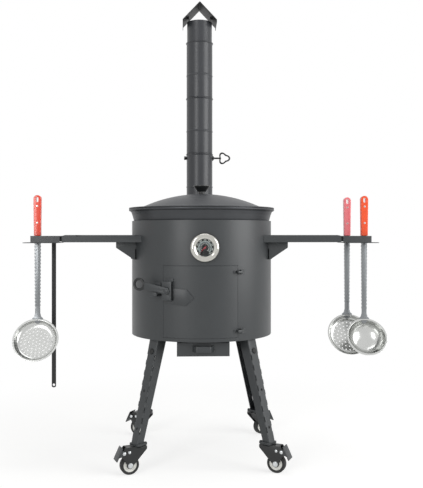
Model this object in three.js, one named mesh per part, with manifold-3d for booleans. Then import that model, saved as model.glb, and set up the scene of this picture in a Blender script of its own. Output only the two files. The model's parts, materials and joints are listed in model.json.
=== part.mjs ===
// A cauldron stove: a sheet steel drum on four wheeled legs, with a cast iron cauldron and lid sunk in
// its open top, a fire door, an ash drawer, a flue with a damper and a rain cap, two side shelves and
// the utensils that hang from them. Millimetres, +Z up, the fire door faces -Y.
import * as THREE from "three";
import { mergeVertices } from "three/addons/utils/BufferGeometryUtils.js";
import Module from "manifold-3d";

const wasm = await Module();
wasm.setup();

// Shared values
const seatGap = 0.3; // between pieces that touch
const runGap = 0.3; // all round a pin in its hole
const overrun = 5; // how far a cutting tool passes the faces it cuts
const drumSides = 32;
const pipeSides = 16;
const wheelSides = 16;
const bowlSides = 18;
const holeSides = 10;
const pinSides = 8;
const arcSteps = 3; // half the straight pieces along one arc of an outline
const weldStep = 1e-3; // vertices closer than this are one

// Drum
const drumRadius = 200;
const drumWall = 2;
const drumHeight = 321;
const baseThickness = 2;
const baseRimHeight = 14;
const ashHoleWidth = 110;
const ashHoleLength = 150;

// Hoop inside the drum's mouth, which the cauldron hangs in
const hoopThickness = 2.9;
const hoopHeight = 20;

// Fire grate
const grateRadius = 108;
const grateThickness = 6;
const grateSlotWidth = 8;
const grateSlotPitch = 20;
const grateSlotCount = 7;
const grateRim = 14;

// Fire door
const doorBottomRise = 10; // above the drum's underside
const doorHeight = 190;
const doorLatchSide = THREE.MathUtils.degToRad(32); // front of the drum round to the door's left edge
const doorHingeSide = THREE.MathUtils.degToRad(27.1);
const doorGap = 0.8;

// Door hinges
const hingeAngle = THREE.MathUtils.degToRad(29.3);
const hingePinRadius = 2.5;
const knuckleWall = 2;
const knuckleHeight = 7;
const knuckleStandOff = 1.5;
const knuckleStrapReach = 12;
const knuckleStrapThickness = 2;
const hingeArmThickness = 2;
const hingeArmWidth = 7;
const hingePlateWidth = 16;
const hingeInset = 17; // from the door's top and bottom edges to the hinges

// Latch
const latchAngle = THREE.MathUtils.degToRad(-27);
const latchRise = 124; // pivot height above the door's bottom edge
const latchPlateThickness = 2.5;
const latchPlateDrop = 13; // pivot to the plate's middle line
const latchPlateSlope = THREE.MathUtils.degToRad(5);
const latchPlateHeight = 42;
const latchPlateTipReach = 69; // from the pivot to the point, round the door
const latchPlateShoulderReach = 49;
const latchPlateBackReach = 13.5;
const latchSlope = THREE.MathUtils.degToRad(11);
const latchBracketWidth = 27;
const latchBracketHeight = 51;
const latchBracketFoot = 7; // flange above and below the bracket
const latchStandOff = 15; // door face to the back of the lever
const leverThickness = 3.5;
const leverWidth = 18;
const leverReach = 83; // pivot to the centre of the ring
const latchPinRadius = 4;
const latchPinHeadRadius = 6.5;
const latchPinHeadThickness = 3;
const ringRadius = 14.5; // centre line of the pull ring
const ringWireRadius = 3;
const latchDrop = THREE.MathUtils.degToRad(12); // from the rest position down into the keeper
const keeperReach = 36; // pivot to the middle of the keeper
const keeperWidth = 22;
const keeperThickness = 2.5;
const keeperLipGap = 2;
const keeperPlateHeight = 36;

// Temperature gauge
const gaugeOffset = 3; // right of the drum's centre line
const gaugeRise = 248; // above the drum's underside
const bezelRadius = 37.5;
const bezelDepth = 13;
const dialRadius = 23;
const dialDepth = 6; // drum face to the dial's back
const dialThickness = 0.8;
const needleLift = 0.9; // dial face to the needle
const needleThickness = 0.9;
const needleLength = 17;
const needleTail = 5;
const needleHalfWidth = 1.1;
const needleHubRadius = 2.4;
const needleAngle = THREE.MathUtils.degToRad(225);
const glassThickness = 1.5;
const glassLift = 1.6; // needle to the glass
const gaugeStemRadius = 4.5;
const gaugeStemReach = 11; // past the drum's inner face
const gaugeNutRadius = 9;
const gaugeNutThickness = 4;

// Ash drawer and its sleeve
const drawerWidth = 135;
const drawerHeight = 33;
const drawerLength = 250;
const drawerWall = 1.5;
const drawerSetBack = 30; // from the drum's front to the drawer's front
const drawerFaceDrop = 5; // how far the front hangs below the box
const drawerSlideGap = 0.6;
const sleeveLip = 12;
const handleWidth = 58;
const handleDepth = 20;
const handleHeight = 16;
const handleThickness = 2.5;

// Legs
const legSheet = 2;
const legRise = 266.4;
const legInset = 13; // from the drum's outside to the leg's outer face, at the top
const legSplay = 70.5; // how far the leg leans out over its height
const legTopDepth = 31;
const legBottomDepth = 22;
const legTopWidth = 34;
const legBottomWidth = 25;
const legBoltDrop = 32;
const legBoltRadius = 4.5;
const legHoleShares = [0.14, 0.5];
const legHoleRadius = 3.5;
const foldSlotShares = [0.2, 0.45, 0.7];
const foldSlotLength = 27;
const foldSlotWidth = 2.4;
const tongueLength = 52;
const tongueThickness = 3;
const tongueMargin = 2; // each side of the tongue inside the leg
const footPlateSide = 34;
const footPlateThickness = 3;
const footPlateOverhang = 2;

// Casters
const wheelRadius = 25;
const wheelWidth = 18;
const wheelHubRadius = 17;
const wheelDish = 2;
const treadRound = 3;
const casterHeight = 77; // floor to the top of the caster's plate
const casterPlateThickness = 2.5;
const casterTrail = 25;
const kingpinRadius = 4;
const kingpinHeadRadius = 7;
const kingpinHeadThickness = 3;
const crownThickness = 3;
const crownGap = 1.5; // plate to crown, where the balls run
const ballRaceRadius = 14;
const crownBack = 20;
const crownFront = 36;
const cheekGap = 1.5; // wheel to cheek
const cheekThickness = 2;
const cheekBossRadius = 8;
const axleRadius = 3;
const axleHeadRadius = 6;
const axleHeadThickness = 3;
const brakePinReach = 17.5; // axle to the brake's pin, along the trail
const brakePinRise = 34; // axle to the brake's pin, upwards
const brakePinRadius = 2.5;
const brakeHeadRadius = 5;
const brakeHeadThickness = 2;
const brakeArmThickness = 2;
const brakeArmRadius = 6;
const brakePadThickness = 2.5;
const brakePadTopReach = 3; // brake pin to the top of the pad, along the trail
const brakePadTopRise = 13.5;
const brakePadFootReach = 19;
const brakePadDrop = 20;
const brakeArmShares = [0.75, 0.15]; // along the pad from its top, where the arms meet it
const brakeCornerTrim = 4; // brake pin back to the top corner of the cheek
const brakePadHalfWidth = 16;
const casterYaws = { front_left: 201, front_right: -26, rear_left: 152, rear_right: 30 };
const legAngles = { front_left: 225, front_right: 315, rear_left: 135, rear_right: 45 };

// Cauldron
const cauldronWall = 5;
const cauldronRise = 34; // rim above the drum's top
const cauldronRimOverhang = 14.5;
const cauldronRimThickness = 7;
const cauldronNeckFlare = 6;
const cauldronShoulderDrop = 28; // where the wall starts to turn in, below the drum's top
const cauldronShoulderInset = 4.5;
const cauldronBowlDepth = 160;

// Lid
const lidThickness = 3.2;
const lidDomeInset = 33; // from the rim to the foot of the dome
const lidDomeRise = 40.5;
const lidApexRadius = 10;
const lidLipDepth = 6;
const knobNeckRadius = 9;
const knobNeckHeight = 7;
const knobFootRadius = 12.5;
const knobTopRadius = 23.5;
const knobConeHeight = 18;
const knobCrown = 3;

// Flue and chimney
const pipeRadius = 42;
const pipeWall = 1.2;
const pipeLength = 246;
const pipeSpigot = 65; // the narrow end that goes into the next pipe
const pipeBeadProud = 2.2;
const pipeBeadHeight = 6;
const lowBeadHeight = 72; // second bead, above the pipe's foot
const lowBeadProud = 1.2;
const lowBeadHalfHeight = 3;
const pipeStandOff = 20; // drum to pipe
const flueBottomDrop = 49; // flue stub's floor below the port's middle
const fluePortRise = 243; // port's middle above the drum's underside
const fluePortWidth = 70;
const fluePortHeight = 60;
const flueFlangeMargin = 24;
const flueCollarRise = 365; // above the drum's underside: where the first pipe stands

// Damper
const damperRise = 167; // above the first pipe's foot
const damperRodRadius = 2.8;
const damperPlateGap = 3.3; // plate's edge to the pipe's inner face
const damperPlateThickness = 1.5;
const damperNutRadius = 6.5;
const damperNutThickness = 8;
const damperBushRadius = 8.5;
const damperBushLength = 6;
const damperRodReach = 26; // pipe to the loop
const damperLoopRadius = 15;
const damperLobeShare = 0.22;
const damperLobes = 3;

// Rain cap
const capHalfWidth = 55;
const capDepth = 96;
const capRise = 57; // ridge above the pipe's end
const capDrop = 58; // ridge to eaves
const capSheet = 1.6;
const capEaveFlange = 9;
const capTabWidth = 30;
const capTabReach = 25;

// Shelves
const shelfLength = 268;
const shelfHalfDepth = 110;
const shelfSheet = 2;
const shelfFlange = 20;
const shelfRise = 281; // top face above the drum's underside
const shelfEndStep = 2.5; // how much lower the rack end is
const shelfEndLength = 85; // from the outer end to the step
const gateWidth = 6;
const bracketPlateHeight = 30;
const bracketDrop = 68; // shelf top to the gusset's foot
const bracketReach = 39; // past the drum's side
const bracketNose = 33; // height of the gusset's outer edge
const bracketHeel = 7; // past the drum's surface at the gusset's foot
const gussetOffset = 80;
const gussetThickness = 3;

// Utensil racks
const rackSheet = 2;
const rackInset = 70; // from the shelf's outer end inwards
const rackProud = 21; // past the shelf's outer end
const rackDepth = 120; // from the shelf's front edge
const channelWidth = 6;
const frontChannel = -84; // front to back place of each channel
const backChannel = -6;
const frontHangInset = 15; // shelf's outer end to what hangs in the front channel
const backHangInset = 45;
const channelSlack = 1.5;

// Utensils
const stemWidth = 18;
const stemThickness = 3;
const stemFlareWidth = 34; // where the stem meets the bowl
const stemFlareLength = 26;
const tangWidth = 12;
const tangLength = 92;
const gripWidth = 21;
const gripThickness = 14;
const gripLength = 112;
const gripHoleRadius = 3;
const gripHoleInset = 12;
const bowlSheet = 1.5;
const skimmerRadius = 62;
const skimmerDepth = 17;
const skimmerTilt = THREE.MathUtils.degToRad(60);
const skimmerCentreDrop = 281; // shelf's end top to the centre of the bowl's rim
const skimmerFlatRadius = 42;
const skimmerHoleRadius = 3;
const skimmerRingPitch = 13;
const skimmerRings = 2;
const skimmerHolesPerRing = 6;
const ladleRadius = 56;
const ladleFlatRadius = 12;
const ladleDepth = 40;
const ladleTilt = THREE.MathUtils.degToRad(55);
const ladleCentreDrop = 277;
const bowlRimOverlap = 6;

// Poker
const pokerWidth = 12;
const pokerThickness = 4;
const pokerLength = 420;
const pokerHookReach = 14; // how far its bent end lies on the rack
const pokerEyeRadius = 7.5;
const pokerEyeHole = 3.6;

// Worked-out places
const floorToFoot = casterHeight + seatGap;
const legFootZ = floorToFoot + footPlateThickness;
const legTopZ = legFootZ + legRise;
const drumBottomZ = legTopZ + seatGap;
const drumTopZ = drumBottomZ + drumHeight;
const drumInner = drumRadius - drumWall;
const doorBottomZ = drumBottomZ + doorBottomRise;
const doorTopZ = doorBottomZ + doorHeight;
const hoopInner = drumInner - seatGap - hoopThickness;
const cauldronSeatRadius = hoopInner - seatGap;
const cauldronRimRadius = cauldronSeatRadius + cauldronRimOverhang;
const cauldronRimZ = drumTopZ + cauldronRise;
const knuckleRadius = hingePinRadius + runGap + knuckleWall;
const hingeRadius = drumRadius + knuckleRadius + knuckleStandOff;
const hingeX = hingeRadius * Math.sin(hingeAngle);
const hingeY = -hingeRadius * Math.cos(hingeAngle);
const latchPivotZ = doorBottomZ + latchRise;
const leverBack = drumRadius + latchStandOff;
const gaugeAngle = Math.asin(gaugeOffset / drumRadius);
const gaugeZ = drumBottomZ + gaugeRise;
const chimneyY = drumRadius + pipeStandOff + pipeRadius;
const spigotRadius = pipeRadius - pipeWall - seatGap;
const pipePitch = pipeLength - pipeSpigot;
const flueCollarZ = drumBottomZ + flueCollarRise;
const fluePortZ = drumBottomZ + fluePortRise;
const chimneyTopZ = flueCollarZ + 2 * pipePitch + pipeLength;
const damperZ = flueCollarZ + damperRise;
const shelfTopZ = drumBottomZ + shelfRise;
const shelfEndTopZ = shelfTopZ - shelfEndStep;
const shelfFlangeZ = shelfTopZ - shelfFlange;
const shelfEndX = drumRadius + shelfLength;
const legTopOuter = drumRadius - legInset;
const legBottomOuter = legTopOuter + legSplay;
const swivelReach = legBottomOuter + footPlateOverhang - footPlateSide / 2;
const crownTopZ = casterHeight - casterPlateThickness - crownGap;
const rackTopZ = shelfFlangeZ - seatGap;
const frontHang = shelfEndX - frontHangInset;
const backHang = shelfEndX - backHangInset;
const cheekInner = wheelWidth / 2 + cheekGap;
const cheekOuter = cheekInner + cheekThickness;
const brakePinX = casterTrail + brakePinReach;
const brakePinZ = wheelRadius + brakePinRise;

// Solids: each helper gives a closed BufferGeometry in the part's own frame
function toSolid(geometry) {
  const bare = new THREE.BufferGeometry();
  bare.setAttribute("position", geometry.getAttribute("position"));
  bare.setIndex(geometry.index);
  const merged = mergeVertices(bare, weldStep);
  const corners = merged.index.array;
  const kept = [];
  for (let i = 0; i < corners.length; i += 3) {
    const [a, b, c] = corners.slice(i, i + 3);
    if (a !== b && b !== c && c !== a) kept.push(a, b, c);
  }
  const vertProperties = new Float32Array(merged.getAttribute("position").array);
  const mesh = new wasm.Mesh({ numProp: 3, vertProperties, triVerts: new Uint32Array(kept) });
  return new wasm.Manifold(mesh);
}

function toGeometry(solid) {
  const { vertProperties, triVerts } = solid.getMesh();
  const geometry = new THREE.BufferGeometry();
  geometry.setAttribute("position", new THREE.BufferAttribute(new Float32Array(vertProperties), 3));
  geometry.setIndex(new THREE.BufferAttribute(new Uint32Array(triVerts), 1));
  return geometry;
}

function join(...geometries) {
  const solids = geometries.map(toSolid);
  return toGeometry(solids.reduce((all, next) => all.add(next)));
}

function cut(body, ...tools) {
  const solids = tools.map(toSolid);
  return toGeometry(solids.reduce((left, tool) => left.subtract(tool), toSolid(body)));
}

function common(first, second) {
  return toGeometry(toSolid(first).intersect(toSolid(second)));
}

function block(x0, x1, y0, y1, z0, z1) {
  const geometry = new THREE.BoxGeometry(x1 - x0, y1 - y0, z1 - z0);
  return geometry.translate((x0 + x1) / 2, (y0 + y1) / 2, (z0 + z1) / 2);
}

function outline(points) {
  return new THREE.Shape(points.map(([x, y]) => new THREE.Vector2(x, y)));
}

function prismZ(shape, z0, z1) {
  const settings = { depth: z1 - z0, bevelEnabled: false, curveSegments: arcSteps };
  return new THREE.ExtrudeGeometry(shape, settings).translate(0, 0, z0);
}

// The shape's own axes become X and Z.
function prismY(shape, y0, y1) {
  return prismZ(shape, 0, y1 - y0).rotateX(Math.PI / 2).translate(0, y1, 0);
}

// The shape's own axes become Y and Z.
function prismX(shape, x0, x1) {
  const turn = new THREE.Matrix4().makeBasis(
    new THREE.Vector3(0, 1, 0),
    new THREE.Vector3(0, 0, 1),
    new THREE.Vector3(1, 0, 0),
  );
  return prismZ(shape, 0, x1 - x0).applyMatrix4(turn).translate(x0, 0, 0);
}

// Turned about the Z axis from an outline of radius and height, which need not be closed by hand.
function turned(points, sides) {
  const profile = points.map(([r, z]) => new THREE.Vector2(r, z));
  if (THREE.ShapeUtils.area(profile) < 0) profile.reverse();
  profile.push(profile[0].clone());
  return new THREE.LatheGeometry(profile, sides).rotateX(Math.PI / 2);
}

function rod(radius, z0, z1, sides = pinSides) {
  return turned([[0, z0], [radius, z0], [radius, z1], [0, z1]], sides);
}

function tube(inner, outer, z0, z1, sides) {
  return turned([[inner, z0], [outer, z0], [outer, z1], [inner, z1]], sides);
}

function hexRod(radius, z0, z1) {
  return rod(radius, z0, z1, 6);
}

function alongX(geometry) {
  return geometry.rotateY(Math.PI / 2);
}

function alongY(geometry) {
  return geometry.rotateX(-Math.PI / 2);
}

// Turns a piece made about +Z so that it looks out of the drum's front.
function facingFront(geometry) {
  return geometry.rotateX(Math.PI / 2);
}

// A pie slice about the drum's axis, from the front round to each angle.
function slice(angle0, angle1, reach, z0, z1) {
  const along = (angle) => [reach * Math.sin(angle), -reach * Math.cos(angle)];
  return prismZ(outline([[0, 0], along(angle0), along(angle1)]), z0, z1);
}

function drumBlank(inner, outer, z0, z1) {
  return tube(inner, outer, z0, z1, drumSides);
}

// Materials
function finish(color, roughness, metalness) {
  return new THREE.MeshStandardMaterial({ color, roughness, metalness });
}

const coatedSteel = finish(0x4d5154, 0.55, 0.3);
const coatedPipe = finish(0x5a5d60, 0.5, 0.3);
const blackSteel = finish(0x1d1e1f, 0.5, 0.4);
const castIron = finish(0x3b3e3f, 0.6, 0.5);
const chromedSteel = finish(0xd8d8d4, 0.15, 1);
const stainlessSteel = finish(0xc9cbcb, 0.2, 1);
const dialBlack = finish(0x1b1c1d, 0.6, 0);
const needleRed = finish(0xb0243a, 0.5, 0);
const clearGlass = new THREE.MeshStandardMaterial({
  color: 0xffffff,
  roughness: 0.05,
  metalness: 0,
  transparent: true,
  opacity: 0.25,
});
const wheelBlack = finish(0x171818, 0.7, 0);
const gripRed = finish(0xe8401f, 0.45, 0);
const gripPink = finish(0xe8606a, 0.45, 0);
const gripOrange = finish(0xf2511b, 0.45, 0);

const stove = new THREE.Group();

function add(name, geometry, material, parent = stove) {
  const mesh = new THREE.Mesh(toGeometry(toSolid(geometry)), material);
  mesh.name = name;
  parent.add(mesh);
  return mesh;
}

// Drum shell, with its door opening, flue port and gauge hole
function doorSlice(spare) {
  const from = -doorLatchSide - spare / drumRadius;
  const to = doorHingeSide + spare / drumRadius;
  return slice(from, to, 2 * drumRadius, doorBottomZ - spare, doorTopZ + spare);
}

function drumShell() {
  const shell = drumBlank(drumInner, drumRadius, drumBottomZ, drumTopZ);
  const port = block(
    -fluePortWidth / 2,
    fluePortWidth / 2,
    0,
    drumRadius + overrun,
    fluePortZ - fluePortHeight / 2,
    fluePortZ + fluePortHeight / 2,
  );
  const gaugeHole = facingFront(rod(gaugeStemRadius + seatGap, 0, drumRadius + overrun, holeSides))
    .translate(0, 0, gaugeZ)
    .rotateZ(gaugeAngle);
  return cut(shell, doorSlice(doorGap), port, gaugeHole);
}

// A leg's outline seen from the side: its outer face leans out, its depth narrows downwards.
function legSide(offset, z0, z1) {
  const outer = (z) => THREE.MathUtils.mapLinear(z, legFootZ, legTopZ, legBottomOuter, legTopOuter);
  const depth = (z) => THREE.MathUtils.mapLinear(z, legFootZ, legTopZ, legBottomDepth, legTopDepth);
  return { outer: (z) => outer(z) - offset, inner: (z) => outer(z) - depth(z), z0, z1 };
}

function legHalfWidth(z) {
  return THREE.MathUtils.mapLinear(z, legFootZ, legTopZ, legBottomWidth, legTopWidth) / 2;
}

function tapered(side, margin, inward) {
  const { outer, inner, z0, z1 } = side;
  const halfWidth = legTopWidth + overrun;
  const sideShape = outline([
    [inner(z0) - inward, z0],
    [outer(z0), z0],
    [outer(z1), z1],
    [inner(z1) - inward, z1],
  ]);
  const frontShape = outline([
    [-legHalfWidth(z0) + margin, z0],
    [legHalfWidth(z0) - margin, z0],
    [legHalfWidth(z1) - margin, z1],
    [-legHalfWidth(z1) + margin, z1],
  ]);
  const across = prismY(sideShape, -halfWidth, halfWidth);
  const through = prismX(frontShape, 0, legBottomOuter + overrun);
  return common(across, through);
}

// The tongue welded under the drum, which the leg slips over and is bolted to
function legTongue(angle) {
  const z0 = drumBottomZ - tongueLength;
  const z1 = drumBottomZ + baseThickness / 2;
  const front = legSide(legSheet + seatGap, z0, z1);
  const back = { ...front, inner: (z) => front.outer(z) - tongueThickness };
  const hole = alongX(rod(legBoltRadius, 0, drumRadius + overrun));
  const tongue = tapered(back, legSheet + tongueMargin, 0);
  return cut(tongue, hole.translate(0, 0, legTopZ - legBoltDrop)).rotateZ(angle);
}

function drumBase() {
  const rimOuter = drumInner - seatGap;
  const pan = turned(
    [
      [0, drumBottomZ],
      [rimOuter, drumBottomZ],
      [rimOuter, drumBottomZ + baseRimHeight],
      [rimOuter - baseThickness, drumBottomZ + baseRimHeight],
      [rimOuter - baseThickness, drumBottomZ + baseThickness],
      [0, drumBottomZ + baseThickness],
    ],
    drumSides,
  );
  const ashHole = block(
    -ashHoleWidth / 2,
    ashHoleWidth / 2,
    -ashHoleLength / 2,
    ashHoleLength / 2,
    drumBottomZ - overrun,
    drumBottomZ + overrun,
  );
  const tongues = Object.values(legAngles).map((angle) => legTongue(THREE.MathUtils.degToRad(angle)));
  return cut(join(pan, ...tongues), ashHole);
}

function fireGrate() {
  const z0 = drumBottomZ + baseThickness + seatGap;
  const disc = rod(grateRadius, z0, z0 + grateThickness, pipeSides);
  const slots = [];
  for (let i = 0; i < grateSlotCount; i += 1) {
    const x = (i - (grateSlotCount - 1) / 2) * grateSlotPitch;
    const half = Math.sqrt((grateRadius - grateRim) ** 2 - x ** 2);
    const from = x - grateSlotWidth / 2;
    slots.push(block(from, from + grateSlotWidth, -half, half, z0 - overrun, z0 + grateThickness + overrun));
  }
  return cut(disc, ...slots);
}

// Fire door: the piece cut out of the drum's front, with the hinge knuckles on its right edge
function hingeHeights() {
  return { upper: doorTopZ - hingeInset, lower: doorBottomZ + hingeInset };
}

function knuckle(z) {
  const z0 = z - knuckleHeight / 2;
  const z1 = z + knuckleHeight / 2;
  const strapInner = drumRadius - drumWall / 2;
  const strapOuter = drumRadius + knuckleStrapThickness;
  const strapEnd = doorHingeSide - knuckleStrapReach / drumRadius;
  const strap = common(
    drumBlank(strapInner, strapOuter, z0, z1),
    slice(strapEnd, doorHingeSide, 2 * drumRadius, z0, z1),
  );
  const tangent = hingeAngle - doorHingeSide;
  const bridge = block(
    -hingeRadius * Math.sin(tangent) - knuckleRadius,
    0,
    -hingeRadius - knuckleRadius,
    -hingeRadius - knuckleRadius + knuckleStrapThickness,
    z0,
    z1,
  ).rotateZ(hingeAngle);
  const riser = block(
    -hingeRadius * Math.sin(tangent) - knuckleRadius,
    -hingeRadius * Math.sin(tangent) - knuckleRadius + knuckleStrapThickness,
    -hingeRadius - knuckleRadius,
    -drumRadius + drumWall / 2,
    z0,
    z1,
  ).rotateZ(hingeAngle);
  const barrel = rod(knuckleRadius, z0, z1, holeSides).translate(hingeX, hingeY, 0);
  return join(barrel, bridge, riser, strap);
}

function fireDoor() {
  const panel = common(drumBlank(drumInner, drumRadius, doorBottomZ, doorTopZ), doorSlice(0));
  const { upper, lower } = hingeHeights();
  const pinHole = rod(hingePinRadius + runGap, doorBottomZ, doorTopZ, holeSides);
  return cut(join(panel, knuckle(upper), knuckle(lower)), pinHole.translate(hingeX, hingeY, 0));
}

function hingePost(z) {
  const inner = knuckleHeight / 2 + seatGap;
  const outer = inner + hingeArmThickness;
  const pin = rod(hingePinRadius, z - outer, z + outer).translate(hingeX, hingeY, 0);
  const arm = (z0) =>
    block(
      -hingePinRadius,
      hingeArmWidth - hingePinRadius,
      -hingeRadius - hingePinRadius,
      -drumRadius - seatGap,
      z0,
      z0 + hingeArmThickness,
    ).rotateZ(hingeAngle);
  const plate = common(
    drumBlank(drumRadius + seatGap, drumRadius + seatGap + knuckleStandOff, z - outer, z + outer),
    slice(hingeAngle, hingeAngle + hingePlateWidth / drumRadius, 2 * drumRadius, z - outer, z + outer),
  );
  return join(pin, arm(z + inner), arm(z - outer), plate);
}

// Latch: everything is drawn at the drum's front and turned round to the latch's angle
function toLatch(geometry) {
  return geometry.rotateZ(latchAngle);
}

// From a shape about its own origin to its slope at the pivot
function atPivot(geometry, slope) {
  return geometry.rotateY(slope).translate(0, 0, latchPivotZ);
}

function latchPlate() {
  const half = latchPlateHeight / 2;
  const arrow = outline([
    [-latchPlateBackReach, -half],
    [latchPlateShoulderReach, -half],
    [latchPlateTipReach, 0],
    [latchPlateShoulderReach, half],
    [-latchPlateBackReach, half],
  ]);
  const inner = drumRadius + seatGap;
  const sheet = drumBlank(inner, inner + latchPlateThickness, doorBottomZ, doorTopZ);
  const stamp = atPivot(prismY(arrow, -2 * drumRadius, 0).translate(0, 0, -latchPlateDrop), latchPlateSlope);
  const hole = facingFront(rod(latchPinRadius + seatGap, 0, leverBack + overrun, holeSides));
  const plate = join(common(sheet, toLatch(stamp)), latchBracket(sheet));
  return cut(plate, toLatch(hole.translate(0, 0, latchPivotZ)));
}

// Bridge on the door that carries the lever, open at its left and right, with a flange above and below
function latchBracket(sheet) {
  const side = latchBracketWidth / 2;
  const high = latchBracketHeight / 2;
  const front = leverBack - seatGap;
  const space = front - latchPlateThickness;
  const reach = high + latchBracketFoot;
  const hull = block(-side, side, -front, 0, -high, high);
  const hollow = block(
    -side - overrun,
    side + overrun,
    -space,
    0,
    -high + latchPlateThickness,
    high - latchPlateThickness,
  );
  const bridge = toLatch(cut(hull, hollow).translate(0, 0, latchPivotZ));
  const flanges = block(-side, side, -2 * drumRadius, 0, -reach, reach).translate(0, 0, latchPivotZ);
  const inside = drumBlank(0, drumRadius + seatGap, doorBottomZ, doorTopZ);
  return join(cut(bridge, inside), common(sheet, toLatch(flanges)));
}

function latchPivot() {
  const head = leverBack + leverThickness + seatGap;
  const pin = rod(latchPinRadius, drumRadius + 2 * seatGap, head + seatGap);
  const cap = turned(
    [
      [0, head],
      [latchPinHeadRadius, head],
      [latchPinHeadRadius, head + latchPinHeadThickness / 2],
      [latchPinRadius, head + latchPinHeadThickness],
      [0, head + latchPinHeadThickness],
    ],
    holeSides,
  );
  return toLatch(facingFront(join(pin, cap)).translate(0, 0, latchPivotZ));
}

function latchLever() {
  const half = leverWidth / 2;
  const strap = new THREE.Shape();
  strap.absarc(0, 0, half, -Math.PI / 2, Math.PI / 2, false);
  strap.lineTo(-leverReach + ringRadius, half);
  strap.lineTo(-leverReach + ringRadius, -half);
  strap.closePath();
  const flat = prismZ(strap, leverBack, leverBack + leverThickness);
  const ring = turned(ringSection(), pipeSides).translate(-leverReach, 0, leverBack + leverThickness / 2);
  const leverFront = leverBack + leverThickness;
  const hole = rod(latchPinRadius + runGap, leverBack - overrun, leverFront + overrun, holeSides);
  return toLatch(atPivot(facingFront(cut(join(flat, ring), hole)), latchSlope));
}

function ringSection() {
  const sides = 2 * arcSteps;
  return Array.from({ length: sides }, (_, i) => {
    const angle = (i / sides) * 2 * Math.PI;
    return [ringRadius + ringWireRadius * Math.cos(angle), ringWireRadius * Math.sin(angle)];
  });
}

// The lever at rest lies just above the keeper's lip, and drops behind it to lock.
function latchKeeper() {
  const restZ = latchPivotZ + keeperReach * Math.tan(latchSlope) - leverWidth / 2 / Math.cos(latchSlope);
  const lockedZ = restZ - keeperReach * (Math.tan(latchSlope) - Math.tan(latchSlope - latchDrop));
  const slopeSpare = (keeperWidth / 2) * Math.tan(latchSlope);
  const lipTopZ = restZ - slopeSpare - seatGap;
  const floorTopZ = lockedZ - slopeSpare - seatGap;
  const floorZ = floorTopZ - keeperThickness;
  const lipBack = leverBack + leverThickness + keeperLipGap;
  const x0 = -keeperReach - keeperWidth / 2;
  const x1 = -keeperReach + keeperWidth / 2;
  const inner = drumRadius + seatGap;
  const floor = block(x0, x1, -lipBack - keeperThickness, 0, floorZ, floorTopZ);
  const lip = block(x0, x1, -lipBack - keeperThickness, -lipBack, floorZ, lipTopZ);
  const plateTopZ = floorZ + keeperPlateHeight;
  const stamp = block(x0, x1, -2 * drumRadius, 0, floorZ - overrun, plateTopZ + overrun);
  const plate = common(drumBlank(inner, inner + keeperThickness, floorZ, plateTopZ), toLatch(stamp));
  const drum = drumBlank(0, inner, floorZ - overrun, floorTopZ + overrun);
  return join(cut(toLatch(floor), drum), toLatch(lip), plate);
}

// Temperature gauge, drawn about +Z from the drum's axis outwards
function toGauge(geometry) {
  return facingFront(geometry).translate(0, 0, gaugeZ).rotateZ(gaugeAngle);
}

const dialBack = drumRadius + dialDepth;
const dialFace = dialBack + seatGap + dialThickness;
const needleBack = dialFace + needleLift;
const glassBack = needleBack + needleThickness + glassLift;
const bezelFront = drumRadius + bezelDepth;

function gaugeCase() {
  const back = drumRadius + seatGap;
  const lip = dialRadius;
  return toGauge(
    turned(
      [
        [0, drumInner - gaugeStemReach],
        [gaugeStemRadius, drumInner - gaugeStemReach],
        [gaugeStemRadius, back],
        [lip + seatGap, back],
        [bezelRadius - dialThickness, dialBack - glassLift],
        [bezelRadius, dialBack],
        [bezelRadius - glassThickness, glassBack],
        [(bezelRadius + lip) / 2 + glassThickness, bezelFront],
        [lip + glassThickness, bezelFront],
        [lip + seatGap, bezelFront - glassThickness],
        [lip + seatGap, dialBack],
        [0, dialBack],
      ],
      pipeSides,
    ),
  );
}

function gaugeDial() {
  return toGauge(rod(dialRadius, dialBack + seatGap, dialFace, pipeSides));
}

function gaugeGlass() {
  return toGauge(rod(dialRadius, glassBack, glassBack + glassThickness, pipeSides));
}

function gaugeNut() {
  const facet = Math.PI / drumSides; // the drum's wall is flat between its corners
  const seat = drumInner * Math.cos(facet) - gaugeNutRadius * Math.sin(facet) - seatGap;
  const nut = hexRod(gaugeNutRadius, seat - gaugeNutThickness, seat);
  const bore = rod(gaugeStemRadius + seatGap, seat - gaugeNutThickness - overrun, seat + overrun, holeSides);
  return toGauge(cut(nut, bore));
}

function gaugeNeedle() {
  const z0 = needleBack;
  const z1 = needleBack + needleThickness;
  const hand = outline([
    [-needleTail, -needleHalfWidth],
    [needleHubRadius, -needleHalfWidth],
    [needleLength, 0],
    [needleHubRadius, needleHalfWidth],
    [-needleTail, needleHalfWidth],
  ]);
  const hub = rod(needleHubRadius, dialFace + seatGap, z1);
  return toGauge(join(prismZ(hand, z0, z1), hub).rotateZ(needleAngle));
}

// Ash drawer
const sleeveInner = drawerWidth / 2 + drawerSlideGap;
const sleeveOuter = sleeveInner + legSheet;
const drawerFrontY = -drumRadius + drawerSetBack;
const drawerBackY = drawerFrontY + drawerLength;
const drawerTopZ = drumBottomZ - legSheet - drawerSlideGap;
const drawerBottomZ = drawerTopZ - drawerHeight;
const sleeveBottomZ = drawerBottomZ - drawerSlideGap - legSheet;
const drawerFaceBottomZ = sleeveBottomZ - drawerFaceDrop + legSheet;

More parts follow.
